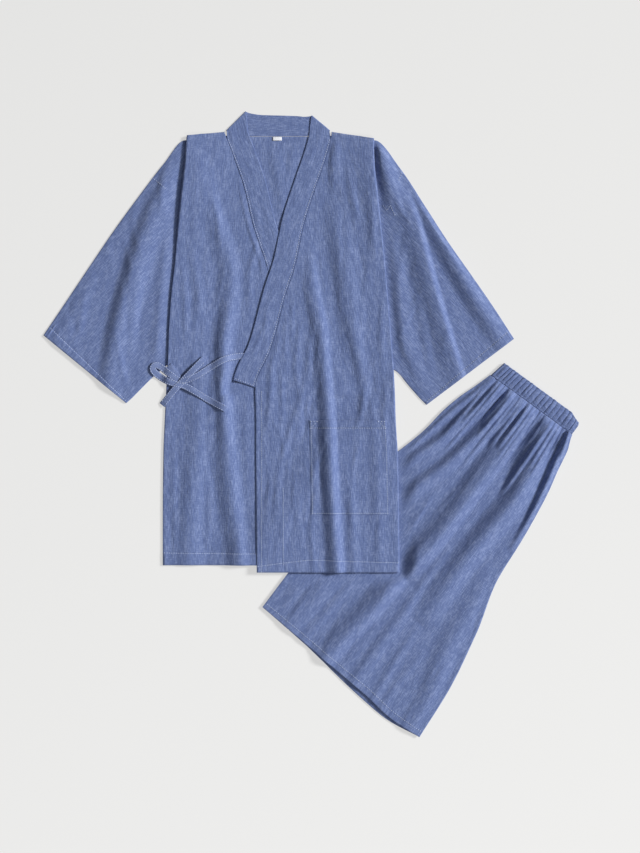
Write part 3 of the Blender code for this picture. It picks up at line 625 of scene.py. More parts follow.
class Front:
    """One front of the jacket; side is -1 for the right, 1 for the left."""

    def __init__(self, side):
        self.side = side
        self.name = "right" if side < 0 else "left"
        self.hem = RIGHT_HEM_Y if side < 0 else LEFT_HEM_Y
        self.hem_depth = RIGHT_HEM if side < 0 else LEFT_HEM
        self.drop = RIGHT_DROP if side < 0 else LEFT_DROP
        self.folds = RIGHT_FRONT_FOLDS if side < 0 else LEFT_FRONT_FOLDS
        self.creases = list(RIGHT_FRONT_CREASES if side < 0 else LEFT_FRONT_CREASES)
        for scatter in (RIGHT_FRONT_SCATTER if side < 0 else LEFT_FRONT_SCATTER):
            self.creases += scattered(scatter)

    def seam(self, y):
        return smooth(OUTLINE, self.name + "_seam", y)

    def fold(self, y):
        return smooth(OUTLINE, self.name + "_fold", y)

    def other_edge(self, y):
        """Where the other front ends, with its collar, measured out on this front's side."""
        other = "left" if self.side < 0 else "right"
        return -smooth(OUTLINE, other + "_seam", y) + np.where(y > COLLAR_END_Y - 14, COLLAR_WIDTH, 0.0)

    def over(self, out, y):
        """The left front rises where the right front and its collar lie under it."""
        if self.side < 0:
            return 0.0
        edge = self.other_edge(y)
        over = LEFT_OVER_LOW + (LEFT_OVER - LEFT_OVER_LOW) * ease(y, COLLAR_END_Y - 50, COLLAR_END_Y - 10)
        return over * (1 - ease(out, edge + 16, edge + 70))

    def middle(self, out, y):
        """Height of the middle of the cloth, with its folds and creases."""
        inward = self.fold(y) - out
        above = ease(y, UNDERARM_Y - 33, UNDERARM_Y - 6)
        height = CLOTH / 2 + PITCH + above * 2 * PITCH * (1 - ease(inward, 44, 92))
        height = height + smooth(SIDE_PUFF, "height", y) * (1 - ease(inward, 0, 50)) + self.over(out, y)
        shown = 1.0
        if self.side < 0:
            edge = self.other_edge(y)
            shown = ease(out, edge + 2, edge + 22)
        wide = ease(inward, 4, 40) * ease(out - self.seam(y), 2, 34) * (1 - ease(y, 690, 740))
        fine = ease(inward, 0, 12) * ease(out - self.seam(y), 1, 12) * (1 - ease(y, 715, 744))
        x = self.side * out
        height = height + relief(x, y, self.folds) * wide * shown
        height = height + relief(x, y, self.creases) * fine * shown
        return height + ride_height(x, y, SHORTS_SLACK)

    def return_height(self, y):
        """The turned-back cloth lies on the floor, and on the sleeve above the underarm."""
        return CLOTH / 2 + ease(y, UNDERARM_Y - 33, UNDERARM_Y - 6) * 2 * PITCH

    def bend(self, y):
        """Lower level, radius and start of the side fold."""
        fold = self.fold(y)
        low = self.return_height(y) + ride_height(self.side * fold, y)
        radius = (self.middle(fold, y) - low) / 2
        return low, radius, fold - radius - CLOTH / 2

    def top(self, share, y):
        """Points of the panel at shares of the way from its seam to its side fold."""
        start = self.bend(y)[2]
        out = self.seam(y) + share * (start - self.seam(y))
        fall = self.drop * ease(y, 560, NECK_Y) * share
        return np.stack([self.side * out, y - fall, self.middle(out, y)], axis=-1)

    def cloth(self):
        shares = np.linspace(0, 1, 76)
        above = hem_rows(NECK_Y - self.hem)
        across = self.side * (self.seam(self.hem) + shares * (self.fold(self.hem) - self.seam(self.hem)))
        depth = smooth(self.hem_depth, "depth", across)
        y = self.hem + hem_warp(above[:, None], depth[None, :])
        panel = self.top(shares[None, :] + 0 * y, y)
        side_y = y[:, -1]
        low, radius, start = self.bend(side_y)
        fall = self.drop * ease(side_y, 560, NECK_Y)
        columns = [panel[:, j] for j in range(panel.shape[1])]
        bend_steps = 9
        for k in range(1, bend_steps + 1):
            angle = math.pi * k / bend_steps
            columns.append(np.stack([self.side * (start + radius * math.sin(angle)), side_y - fall,
                                     low + radius + radius * math.cos(angle)], axis=1))
        for s in (0.2, 0.4, 0.6, 0.8, 1.0):
            out = start + s * (self.fold(side_y) - RETURN - start)
            z = self.return_height(side_y) + ride_height(self.side * out, side_y)
            columns.append(np.stack([self.side * out, side_y - fall, z], axis=1))
        points = np.stack(columns, axis=1)
        rise = np.zeros(points.shape[:2])
        rise[:, :len(shares)] = hem_rise(above[:, None], across[None, :], 1.0 + self.side)
        if self.side > 0:
            facing = (1 - ease(across, 4, 8))[None, :] * (1 - ease(y, COLLAR_END_Y - 40, COLLAR_END_Y))
            drawn = np.exp(-((across + 31) / 2.2) ** 2)[None, :] * (y < COLLAR_END_Y)
            pucker = ripple(y, 3.0) * np.exp(-((across + 31) / 8) ** 2)[None, :] * (y < COLLAR_END_Y)
            rise[:, :len(shares)] += 0.35 * facing - 0.3 * drawn + 0.25 * pucker
        points[-1, :, 1] -= SHOULDER_ROLL
        top = points[-1]
        inward = self.fold(NECK_Y) - np.abs(top[:, 0])
        roll = np.where(np.arange(len(top)) < len(shares), ease(inward, 18, 46), 0.0)
        floor = CLOTH / 2 + 0.1
        z_end = top[:, 2] + roll * (floor - top[:, 2])
        rolled = []
        steps = 6
        for step in range(1, steps + 1):
            angle = math.pi / 2 * step / steps
            rolled.append(np.stack([top[:, 0], top[:, 1] + SHOULDER_ROLL * math.sin(angle),
                                    z_end + (top[:, 2] - z_end) * math.cos(angle)], axis=1))
        points = np.concatenate([points, np.array(rolled)])
        rise = np.concatenate([rise, np.zeros((steps, points.shape[1]))])
        grain = grain_of(points, column=len(shares) - 1)
        if self.side < 0:
            points, rise, grain = points[:, ::-1], rise[:, ::-1], grain[:, ::-1] * np.array([-1, 1])
        return cloth_of(points, CLOTH, rise, grain)


def side_seam(side, sleeve, y):
    """Where the back ends: at the turned-back front, and at the armhole above the underarm."""
    hole = sleeve[0]
    share = (y - hole.under_y) / (hole.top_y - hole.under_y)
    above = hole.under_out + share * (hole.top_out - hole.under_out) - GAP
    below = smooth(OUTLINE, side + "_fold", y) - RETURN - GAP
    return np.where(y <= UNDERARM_Y, below, above)


def back_cloth():
    """The back lies on the floor, and shows in the neck opening."""
    shares = np.linspace(0, 1, 90)
    above = hem_rows(NECK_BACK_Y - BACK_HEM_Y, 5.0)
    above = np.unique(np.concatenate([above, [UNDERARM_Y - BACK_HEM_Y, UNDERARM_Y - BACK_HEM_Y + 0.5]]))
    y = BACK_HEM_Y + above
    right, left = -side_seam("right", RIGHT_SLEEVE, y), side_seam("left", LEFT_SLEEVE, y)
    x = right[:, None] + shares[None, :] * (left - right)[:, None]
    y = np.repeat(y[:, None], len(shares), axis=1)
    lift = (y - BACK_HEM_Y) / (NECK_BACK_Y - BACK_HEM_Y)
    beyond = np.maximum(np.abs(x) - 45, 0) / 80
    edge = -0.45 + 2.5 * np.minimum(beyond, 0.6) * ease(y, 600, NECK_BACK_Y)
    half_opening = (y - 560) * 0.28
    shown = ease(half_opening - np.abs(x - 3), 4, 24) * (1 - ease(y, 700, 735))
    waves = relief(x, y, [Fold(((-12, 760), (-6, 690), (6, 600)), 20, 22, 1.6),
                          Fold(((26, 760), (22, 700), (14, 640)), 14, 16, 1.2)]) * shown
    height = CLOTH / 2 + ride_height(x, y) + waves
    points = np.stack([x, y + lift * edge, height], axis=2)
    return cloth_of(points, CLOTH, 0.0)


def collar_cloth(right, left):
    """The band from its hidden right end, round the back of the neck, to its left end."""

    def along_front(front, rising):
        stations = []
        for y in np.concatenate([[COLLAR_END_Y], np.arange(COLLAR_END_Y + 5, 734, 5.0)]):
            slope = (front.seam(y + 4) - front.seam(y - 4)) / 8 if y > COLLAR_END_Y + 1 else 0.36
            slope = min(slope, 0.42)
            size = math.hypot(1, slope)
            seam = front.seam(y) - GAP * size
            width = COLLAR_WIDTH - GAP
            lift = COLLAR_WALL / 2 + PITCH + 0.3 * ease(y, 530, 640)
            if front.side > 0:
                lift += LEFT_OVER * (1 - ease(y, 530, 640))
            inner = (front.side * (seam - width / size), y + width * slope / size, lift)
            stations.append((inner, (front.side * seam, y, lift)))
        return stations if rising else stations[::-1]

    low = COLLAR_WALL / 2

    def turn(side, outer_x, inner_x, rise, high, rising):
        """The band folds over on the slanting line at the side of the neck."""
        inner = np.array([side * inner_x, NECK_Y + rise])
        outer = np.array([side * outer_x, NECK_Y + 2.2])
        line = outer - inner
        away = np.array([-line[1], line[0]]) * side
        away = away / np.linalg.norm(away)
        radius = (high - low) / 2
        stations = []
        steps = 9
        for k in range(steps + 1):
            angle = math.pi * (k / steps)
            shift = away * radius * (math.sin(angle) - 1)
            z = low + radius + radius * math.cos(angle)
            stations.append(((*(inner + shift), z), (*(outer + shift), z)))
        return stations if rising else stations[::-1]

    up, down = along_front(right, True), along_front(left, False)
    behind = [
        ((-46, 777, low), (-74, NECK_BACK_Y + 5, low)),
        ((-30, 775, low), (-48, NECK_BACK_Y, low)),
        ((6, 774, low), (0, NECK_BACK_Y, low)),
        ((32, 773, low), (42, NECK_BACK_Y, low)),
        ((42, 772, low), (70, NECK_BACK_Y + 5, low)),
    ]
    stations = up + turn(-1, 91, 58, RIGHT_NECK_RISE, up[-1][0][2], True) + behind
    stations += turn(1, 85, 54, LEFT_NECK_RISE, down[0][0][2], False) + down
    ends = np.array(stations, dtype=float).reshape(len(stations), 6)
    steps = np.linalg.norm(np.diff(ends, axis=0), axis=1) / math.sqrt(2)
    run = np.concatenate([[0.0], np.cumsum(np.maximum(steps, 0.4))])
    fine = [np.linspace(a, b, max(2, int(math.ceil((b - a) / 4.0)) + 1))[:-1] for a, b in zip(run[:-1], run[1:])]
    fine = np.concatenate(fine + [[run[-1]]])
    ends = np.stack([curve(run, ends[:, c], fine) for c in range(6)], axis=1)
    inner, outer = ends[:, None, :3], ends[:, None, 3:]
    shares = np.array([0, 0.05, 0.12, 0.2, 0.3, 0.4, 0.5, 0.6, 0.7, 0.8, 0.87, 0.91, 0.935, 0.96, 0.985, 1])[::-1]
    points = inner + (outer - inner) * shares[None, :, None]
    across = shares * COLLAR_WIDTH
    along = np.repeat(fine[:, None], len(shares), axis=1)
    span = np.repeat(across[None, :], len(fine), axis=0)
    creases = scattered(Scatter(61, 46, 4, 34, 0, run[-1], 0.02, (25, 80), (4, 8), (0.2, 0.6)))
    wrinkles = [Fold(((10, run[-1] - 150), (20, run[-1] - 105), (30, run[-1] - 70)), 5, 6, 1.2),
                Fold(((24, run[-1] - 140), (18, run[-1] - 100), (12, run[-1] - 50)), 5, 5, 0.9)]
    calm = ease(span, 1, 7) * ease(COLLAR_WIDTH - span, 3, 9)
    waves = np.maximum(relief(span, along, creases + wrinkles), -0.3) * calm
    points[..., 2] += waves
    seam_line = COLLAR_WIDTH * 0.935
    rise = -0.35 * np.exp(-((span - seam_line) / 0.9) ** 2)
    rise = rise + 0.22 * ripple(along, 5.0) * np.exp(-((span - seam_line) / 5) ** 2)
    return cloth_of(points, COLLAR_WALL, rise)


def sleeve_cloth(side, rings, folds, creases, front):
    """Closed rings round the flattened sleeve, from the armhole to the cuff."""
    index = np.arange(len(rings), dtype=float)
    last = index[-1]
    cuff_step = CUFF_DEPTH / 72.0
    fine = np.concatenate([np.linspace(0, last - 1.6 * cuff_step, 82),
                           last - cuff_step * np.array([1.3, 1.12, 1.05, 1.0, 0.95, 0.88, 0.7, 0.45, 0.2, 0.0])])
    columns = [curve(index, [ring[c] for ring in rings], fine) for c in range(4)]
    top_out, top_y, under_out, under_y = [column[:, None] for column in columns]
    shares = np.unique(np.concatenate([[0, 0.004, 0.012, 0.025, 0.04, 0.06, 0.94, 0.96, 0.975, 0.988, 0.996],
                                       np.linspace(0.08, 1, 72)]))[None, :]
    out = under_out + shares * (top_out - under_out)
    y = under_y + shares * (top_y - under_y)
    x = side * out
    clear = ease(out - front.fold(y), 1, 22)
    puff = 2.2 * np.maximum(np.sin(np.pi * shares), 0) ** 0.5
    wide = ease(shares, 0, 0.14) * ease(1 - shares, 0, 0.14)
    fine_edge = ease(shares, 0.0, 0.06) * ease(1 - shares, 0.0, 0.04)
    beside = ease(out - front.fold(y), 0, 9)
    height = (puff + relief(x, y, folds) * wide) * clear + relief(x, y, creases) * fine_edge * beside
    height = np.maximum(height, 0.0)
    upper = np.stack([x, y, CLOTH / 2 + PITCH + height], axis=2)
    under_shares = np.linspace(1, 0, 24)[None, :]
    under_out_all = under_out + under_shares * (top_out - under_out)
    under_y_all = under_y + under_shares * (top_y - under_y)
    lower = np.stack([side * under_out_all, under_y_all, np.full(under_out_all.shape, CLOTH / 2)], axis=2)
    line = (upper[:, -1] - upper[:, 0])
    line = line / np.linalg.norm(line, axis=1, keepdims=True)
    radius = PITCH / 2

    def turned(edge, way, angles):
        """Points round the fold of the sleeve's edge."""
        return np.stack([edge + way * line * radius * math.sin(a) - np.array([0, 0, radius * (1 - math.cos(a))])
                         for a in angles], axis=1)

    angles = [math.pi * k / 4 for k in (1, 2, 3)]
    points = np.concatenate([upper, turned(upper[:, -1], 1, angles), lower,
                             turned(upper[:, 0], -1, angles[::-1])], axis=1)
    from_cuff = (last - fine) / cuff_step * CUFF_DEPTH
    along = np.linspace(0, 1, points.shape[1])[None, :] * 420
    rise = hem_rise(from_cuff[:, None] + 2.0, along, 4.0 + side) * (from_cuff < 40)[:, None]
    girth = points.shape[1]
    rise = np.broadcast_to(rise, (len(fine), girth)).copy()
    rise[:, shares.shape[1]:] = 0.0
    if side > 0:
        points, rise = points[:, ::-1], rise[:, ::-1]
    return cloth_of(points, CLOTH, rise, turned_grain(points, side * math.radians(43)))


def pocket_cloth(front):
    """The patch pocket follows the left front under it."""
    low, high = POCKET_Y
    rows = np.concatenate([[low], np.arange(low + 3, high - 17, 3.2), high - np.array([16, 14.4, 13.7, 13, 12.3, 11.6, 9.5, 7, 4.5, 2, 0])])
    shares = np.linspace(*POCKET_SHARES, 62)
    y = np.repeat(rows[:, None], len(shares), axis=1)
    s = np.repeat(shares[None, :], len(rows), axis=0)
    eps_s, eps_y = 0.004, 1.0
    middle = front.top(s, y)
    across = front.top(s + eps_s, y) - front.top(s - eps_s, y)
    down = front.top(s, y + eps_y) - front.top(s, y - eps_y)
    out = np.cross(across, down)
    out = out / np.linalg.norm(out, axis=2, keepdims=True)
    side_share = (s - POCKET_SHARES[0]) / (POCKET_SHARES[1] - POCKET_SHARES[0])
    mouth = ease(y, high - 60, high) * np.sin(np.pi * side_share) ** 0.6
    lift = (CLOTH + POCKET_WALL) / 2 + 0.03 + 1.1 * mouth
    points = middle + out * lift[..., None]
    hem = high - y
    rise = 0.6 * (1 - ease(hem, 12.6, 13.6)) - 0.35 * np.exp(-((hem - 13) / 0.8) ** 2)
    width = (points[0, -1, 0] - points[0, 0, 0])
    from_side = np.minimum(side_share, 1 - side_share) * width
    rise = rise - 0.3 * np.exp(-((from_side - 2.5) / 1.2) ** 2) - 0.3 * np.exp(-((y - low - 2.5) / 1.2) ** 2)
    rise = rise + 0.25 * ripple(points[..., 0], 2.0) * np.exp(-((hem - 13) / 5) ** 2)
    rise = rise + 0.15 * ripple(y, 6.0) * np.exp(-(from_side / 5) ** 2)
    rise = rise - 0.2 * (1 - ease(from_side, 0.5, 4)) - 0.2 * (1 - ease(y, low + 0.5, low + 4))
    return cloth_of(points, POCKET_WALL, rise)


def outside_jacket(x, y):
    """How far a point of the shorts lies clear of the jacket's side and hem."""
    return np.maximum(x - smooth(OUTLINE, "left_fold", np.clip(y, 0, NECK_Y)), LEFT_HEM_Y - y)


def leg_cloth(layer, shares, stations, finely):
    """One leg: from the inner seam, round the side fold and back to the seam."""
    on_top = layer == SHORTS_LAYERS - 1
    inset = 0.0 if on_top else 4.0

    def place(s, t):
        """A place on the leg, as u and v: s across it and t down it."""
        nominal = LEG_TOP + t * (LEG_LENGTH - LEG_TOP)
        seam = smooth(LEGS, "seam", nominal) + inset
        side = smooth(LEGS, "side", nominal) - inset
        v = seam + s * (side - seam)
        reach = smooth(SHORTS_HEM, "u", v) + (0.0 if on_top else smooth(SHORTS_HEM, "under", v))
        return LEG_TOP + t * (reach - LEG_TOP), v

    gather_folds = waist_gathers()
    scatter = [fold for kind in SHORTS_SCATTER for fold in scattered(kind)]

    def waves(u, v):
        x, y = from_shorts(u, v)
        clear = ease(outside_jacket(x, y), 2, 32)
        seam, side = smooth(LEGS, "seam", u), smooth(LEGS, "side", u)
        wide = ease(v - seam, 2, 34) * ease(side - v, -2, 22)
        fine = ease(v - seam, 0, 8) * ease(side - v, -2, 8)
        sprung = ease(u, LEG_TOP - 8, LEG_TOP + 16)
        settled = 1 - 0.6 * ease(u, LEG_LENGTH - 120, LEG_LENGTH)
        height = relief(v, u, SHORTS_FOLDS) * wide * sprung + 2.0 * ease(v - seam, 0, 30) * settled
        height = height + (relief(v, u, SHORTS_CREASES) + relief(v, u, scatter)) * fine
        height = height + relief(v, u, gather_folds) * ease(v - seam, 0, 4) * ease(side - v, -2, 4)
        return np.maximum(height * clear, 0.0)

    upper_level = CLOTH / 2 + layer * PITCH
    lower_level = upper_level - PITCH
    t, s = np.meshgrid(stations, shares, indexing="ij")
    u, v = place(s, t)
    height = waves(u, v) if on_top else np.zeros(u.shape)
    x, y = from_shorts(u, v)
    panel = np.stack([x, y, upper_level + height], axis=2)
    edge_u, edge_v = place(np.ones(len(stations)), np.asarray(stations))
    radius = (panel[:, -1, 2] - lower_level) / 2
    columns = [panel[:, j] for j in range(panel.shape[1])]
    bend_steps = 8 if finely else 4
    for k in range(1, bend_steps):
        angle = math.pi * k / bend_steps
        x, y = from_shorts(edge_u, edge_v + radius * math.sin(angle))
        columns.append(np.stack([x, y, lower_level + radius * (1 + math.cos(angle))], axis=1))
    for share in np.linspace(1, 0, 20 if finely else 8):
        u_low, v_low = place(np.full(len(stations), share), np.asarray(stations))
        x, y = from_shorts(u_low, v_low)
        columns.append(np.stack([x, y, np.full(len(stations), lower_level)], axis=1))
    points = np.stack(columns, axis=1)
    rise = np.zeros(points.shape[:2])
    if finely:
        depth = smooth(SHORTS_HEM_DEPTH, "depth", v)
        from_hem = (1 - t) * (smooth(SHORTS_HEM, "u", v) - LEG_TOP)
        hem = from_hem / depth * 19
        rise[:, :len(shares)] = hem_rise(hem, v, 2.0)
    return cloth_of(points, CLOTH, rise, turned_grain(points, SHORTS_TURN + math.pi / 2))


def waist_gathers():
    """Fine uneven pleats that spring from the waistband and die out down the leg."""
    sizes = bpy.context.scene.jinbei_sizes
    chance = np.random.default_rng(71)
    folds = []
    for k in range(sizes.gathers):
        v = -84 + 160 * (k + 0.5 + chance.uniform(-0.22, 0.22)) / sizes.gathers
        fan = v * chance.uniform(0.12, 0.22)
        length = chance.uniform(35, 160)
        path = ((v, LEG_TOP - 14), (v + fan * 0.5, LEG_TOP + length * 0.45), (v + fan, LEG_TOP + length))
        reach = chance.uniform(3.2, 6.2)
        folds.append(Fold(path, reach, reach * chance.uniform(1.0, 1.5), reach * chance.uniform(0.8, 1.3)))
    return folds


def waistband_cloth():
    """The elastic band is one ring folded in half with the shorts, so it lies in four layers."""
    sizes = bpy.context.scene.jinbei_sizes
    pitch = BAND_WALL + GAP
    levels = [BAND_WALL / 2 + i * pitch for i in range(SHORTS_LAYERS)]
    chance = np.random.default_rng(72)
    edges = np.cumsum(chance.uniform(0.75, 1.3, sizes.gathers))
    edges = np.concatenate([[0.0], edges / edges[-1]])
    heights = chance.uniform(0.55, 1.3, sizes.gathers)
    leans = chance.uniform(-0.9, 0.9, sizes.gathers)
    per_gather = 9
    shares = np.concatenate([np.linspace(a, b, per_gather + 1)[:-1] for a, b in zip(edges[:-1], edges[1:])] + [[1.0]])
    which = np.clip(np.searchsorted(edges, shares, side="right") - 1, 0, sizes.gathers - 1)
    phase = (shares - edges[which]) / (edges[which + 1] - edges[which])
    crown = np.sqrt(np.maximum(np.sin(np.pi * phase), 0)) * heights[which]
    under_shares = np.linspace(0, 1, 24)
    rows = []
    for t in np.linspace(0, 1, 19):
        u = BAND_TOP + t * BAND_HEIGHT
        left, right = -80 - 6 * t, 77 + 2 * ease(t, 0, 0.25) - ease(0.04 - t, 0, 0.04)
        inner = left + pitch + 0.4
        row = []

        def put(v, z, bow=0.0):
            slope = 7 * ease(v, 55, 80) * (1 - t)
            x, y = from_shorts(u + slope + bow, v)
            row.append(np.stack(np.broadcast_arrays(x, y, z), axis=-1).reshape(-1, 3))

        # The casing is pinched at its frill and along its lower stitches, and full between them.
        full = 0.35 + 0.65 * math.sin(math.pi * min(max((t - 0.08) / 0.8, 0), 1)) ** 0.6
        if t < 0.08:
            full = 0.35 + 0.3 * (0.08 - t) / 0.08
        ends = ease(shares, 0, 0.05) * ease(1 - shares, 0, 0.05)
        swell = 2.6 * crown * full * ends
        lean = leans[which] * crown * ends
        v = left + shares * (right - left) + lean
        top = levels[3] + 1.2 * np.sin(np.pi * shares) * (1 - 0.4 * t) + swell - 0.35
        put(v, top, 0.9 * (1 - crown) * (1 - t) ** 2)
        steps = 6
        for k in range(1, steps):
            angle = math.pi * k / steps
            put(right + pitch / 2 * math.sin(angle), levels[2] + pitch / 2 * (1 + math.cos(angle)))
        put(inner + under_shares[::-1] * (right - inner), levels[2])
        for k in range(1, steps):
            angle = math.pi * k / steps
            put(inner - pitch / 2 * math.sin(angle), levels[1] + pitch / 2 * (1 + math.cos(angle)))
        put(inner + under_shares * (right - inner), levels[1])
        for k in range(1, steps):
            angle = math.pi * k / steps
            put(right + pitch / 2 * math.sin(angle), levels[0] + pitch / 2 * (1 + math.cos(angle)))
        put(left + under_shares[::-1] * (right - left), levels[0])
        radius = (levels[3] - levels[0]) / 2
        for k in range(1, 12):
            angle = math.pi * k / 12
            put(left - radius * math.sin(angle), levels[0] + radius * (1 - math.cos(angle)))
        rows.append(np.concatenate(row))
    return cloth_of(np.array(rows), BAND_WALL)


# What lies on the cloth: ties and stitches

def search_trees(names):
    """Search trees that tell how high the named pieces reach at a place."""
    trees = []
    for name in names:
        mesh = bpy.data.objects[name + "_cloth"].data
        points = [vertex.co for vertex in mesh.vertices]
        trees.append(BVHTree.FromPolygons(points, [tuple(face.vertices) for face in mesh.polygons]))
    return trees


def highest(trees, x, y):
    """Height of the topmost cloth at a place, in millimetres."""
    at = Vector(((x + JACKET_AT[0]) * MM, (y + JACKET_AT[1]) * MM, 1.0))
    hits = [tree.ray_cast(at, Vector((0, 0, -1)))[0] for tree in trees]
    return max([hit.z / MM for hit in hits if hit is not None], default=0.0)


def bed_height(trees, x, y):
    """A smooth height that clears all that lies within a strap's half width of a place."""
    reach, blend = (-2.5, 0, 2.5), (-4, 0, 4)
    tops = [max(highest(trees, x + dx + ex, y + dy + ey) for ex in reach for ey in reach)
            for dx in blend for dy in blend]
    return sum(tops) / len(tops)


def strap_line(route, step=3.0):
    """Even points along a strap's route, by a curve through its rows."""
    fixed = np.array(route, dtype=float)
    ends = np.vstack([2 * fixed[0] - fixed[1], fixed, 2 * fixed[-1] - fixed[-2]])
    line = []
    for i in range(1, len(ends) - 2):
        p0, p1, p2, p3 = ends[i - 1], ends[i], ends[i + 1], ends[i + 2]
        count = max(2, round(float(np.linalg.norm((p2 - p1)[:2])) / step))
        for k in range(count):
            t = k / count
            line.append(0.5 * (2 * p1 + (p2 - p0) * t + (2 * p0 - 5 * p1 + 4 * p2 - p3) * t * t
                               + (3 * p1 - 3 * p2 + p3 - p0) * t ** 3))
    line.append(fixed[-1])
    return np.array(line)


ACROSS_STRAP = (-1, -0.86, -0.6, -0.25, 0.25, 0.6, 0.86, 1)


def strap_rows(line, trees, flip=1.0):
    """Gives a strap's line its width and a soft crown, and lays it on what is under it."""
    half = bpy.context.scene.jinbei_sizes.tie_width / MM / 2
    run = np.gradient(line[:, :2], axis=0)
    side = flip * np.stack([run[:, 1], -run[:, 0]], axis=1)
    side = side / np.linalg.norm(side, axis=1, keepdims=True) * half
    rows = []
    for (x, y, under), (sx, sy) in zip(line, side):
        lift = STRAP_WALL / 2 + GAP + max(under, 0) * STRAP_PITCH
        low, high = [bed_height(trees, x + k * sx, y + k * sy) + lift for k in (-1, 1)]
        rows.append([(x + k * sx, y + k * sy, low + (high - low) * (k + 1) / 2 + 0.6 * (1 - k * k))
                     for k in ACROSS_STRAP])
    return rows


def side_tie_points(trees):
    """The side tie runs under the knot, doubles back at its bight and ends over the knot."""
    out = strap_line(SIDE_TIE_OUT)
    rows = [np.array(row) for row in strap_rows(out, trees)]
    back = [np.array(row) for row in strap_rows(strap_line(SIDE_TIE_BACK), trees, flip=-1.0)]
    run = out[-1] - out[-2]
    run = np.array([run[0], run[1], 0.0]) / math.hypot(run[0], run[1])
    middle = (rows[-1] + back[0]) / 2
    radius = (back[0][0][2] - rows[-1][0][2]) / 2
    steps = 8
    for k in range(1, steps):
        angle = math.pi * k / steps
        rows.append(middle + run * radius * math.sin(angle) - np.array([0, 0, radius * math.cos(angle)]))
    return np.array(rows + back)


def strap_cloth(points):
    """A strap is folded cloth: fuller at its turned edges."""
    across = np.array(ACROSS_STRAP)
    rise = np.broadcast_to(0.12 * np.abs(across) ** 3, points.shape[:2])
    return cloth_of(points, STRAP_WALL, rise)


def laid_lines(trees, paths, step=1.6):
    """Lays paths on the cloth, as points just above it joined by edges."""
    points, edges = [], []
    for path in paths:
        path = np.array(path, dtype=float)
        lengths = np.concatenate([[0.0], np.cumsum(np.linalg.norm(np.diff(path, axis=0), axis=1))])
        count = max(2, int(lengths[-1] / step))
        at = np.linspace(0, lengths[-1], count)
        xs, ys = np.interp(at, lengths, path[:, 0]), np.interp(at, lengths, path[:, 1])
        start = len(points)
        for x, y in zip(xs, ys):
            points.append(((x + JACKET_AT[0]) * MM, (y + JACKET_AT[1]) * MM, (highest(trees, x, y) + 0.12) * MM))
        edges += [(start + i, start + i + 1) for i in range(count - 1)]
    return points, edges


def input_identifier(tree, name):
    for item in tree.interface.items_tree:
        if item.item_type == "SOCKET" and item.in_out == "INPUT" and item.name == name:
            return item.identifier
    raise RuntimeError(f"the tree has no input named {name!r}")


def add(tree, kind, links=(), **settings):
    """Adds a node with its settings, its inputs' values or links, by name or number."""
    made = tree.nodes.new(kind)
    for name, value in settings.items():
        setattr(made, name, value)
    for socket, value in dict(links).items():
        if isinstance(value, bpy.types.NodeSocket):
            tree.links.new(value, made.inputs[socket])
        else:
            made.inputs[socket].default_value = value
    return made


def stitch_tree(thread):
    """Rows of plump stitches along the edges of a mesh."""
    tree = bpy.data.node_groups.new("Topstitching", "GeometryNodeTree")
    face = tree.interface
    face.new_socket("Lines", in_out="INPUT", socket_type="NodeSocketGeometry")
    for name, default in (("Stitch Length", 0.003), ("Gap", 0.001), ("Thread Width", 0.0006)):
        face.new_socket(name, in_out="INPUT", socket_type="NodeSocketFloat").default_value = default
    face.new_socket("Stitches", in_out="OUTPUT", socket_type="NodeSocketGeometry")
    given = add(tree, "NodeGroupInput").outputs
    pitch = add(tree, "ShaderNodeMath", {0: given["Stitch Length"], 1: given["Gap"]}, operation="ADD")
    lines = add(tree, "GeometryNodeMeshToCurve", {"Mesh": given["Lines"]})
    even = add(tree, "GeometryNodeResampleCurve", {"Curve": lines.outputs[0], "Length": pitch.outputs[0]},
               mode="LENGTH")
    bead = add(tree, "GeometryNodeMeshUVSphere", {"Segments": 6, "Rings": 5, "Radius": 0.5})
    bead = add(tree, "GeometryNodeSetShadeSmooth", {"Geometry": bead.outputs[0]})
    tangent = add(tree, "GeometryNodeInputTangent")
    turn = add(tree, "FunctionNodeAlignRotationToVector", {"Vector": tangent.outputs[0]}, axis="X")
    uneven = add(tree, "FunctionNodeRandomValue", data_type="FLOAT")
    uneven.inputs[2].default_value, uneven.inputs[3].default_value = 0.82, 1.08
    uneven.inputs["Seed"].default_value = 5
    length = add(tree, "ShaderNodeMath", {0: given["Stitch Length"], 1: uneven.outputs[1]}, operation="MULTIPLY")
    size = add(tree, "ShaderNodeCombineXYZ",
               {"X": length.outputs[0], "Y": given["Thread Width"], "Z": given["Thread Width"]})
    beads = add(tree, "GeometryNodeInstanceOnPoints",
                {"Points": even.outputs[0], "Instance": bead.outputs[0],
                 "Rotation": turn.outputs[0], "Scale": size.outputs[0]})
    real = add(tree, "GeometryNodeRealizeInstances", {"Geometry": beads.outputs[0]})
    finished = add(tree, "GeometryNodeSetMaterial", {"Geometry": real.outputs[0], "Material": thread})
    add(tree, "NodeGroupOutput", {"Stitches": finished.outputs[0]})
    return tree


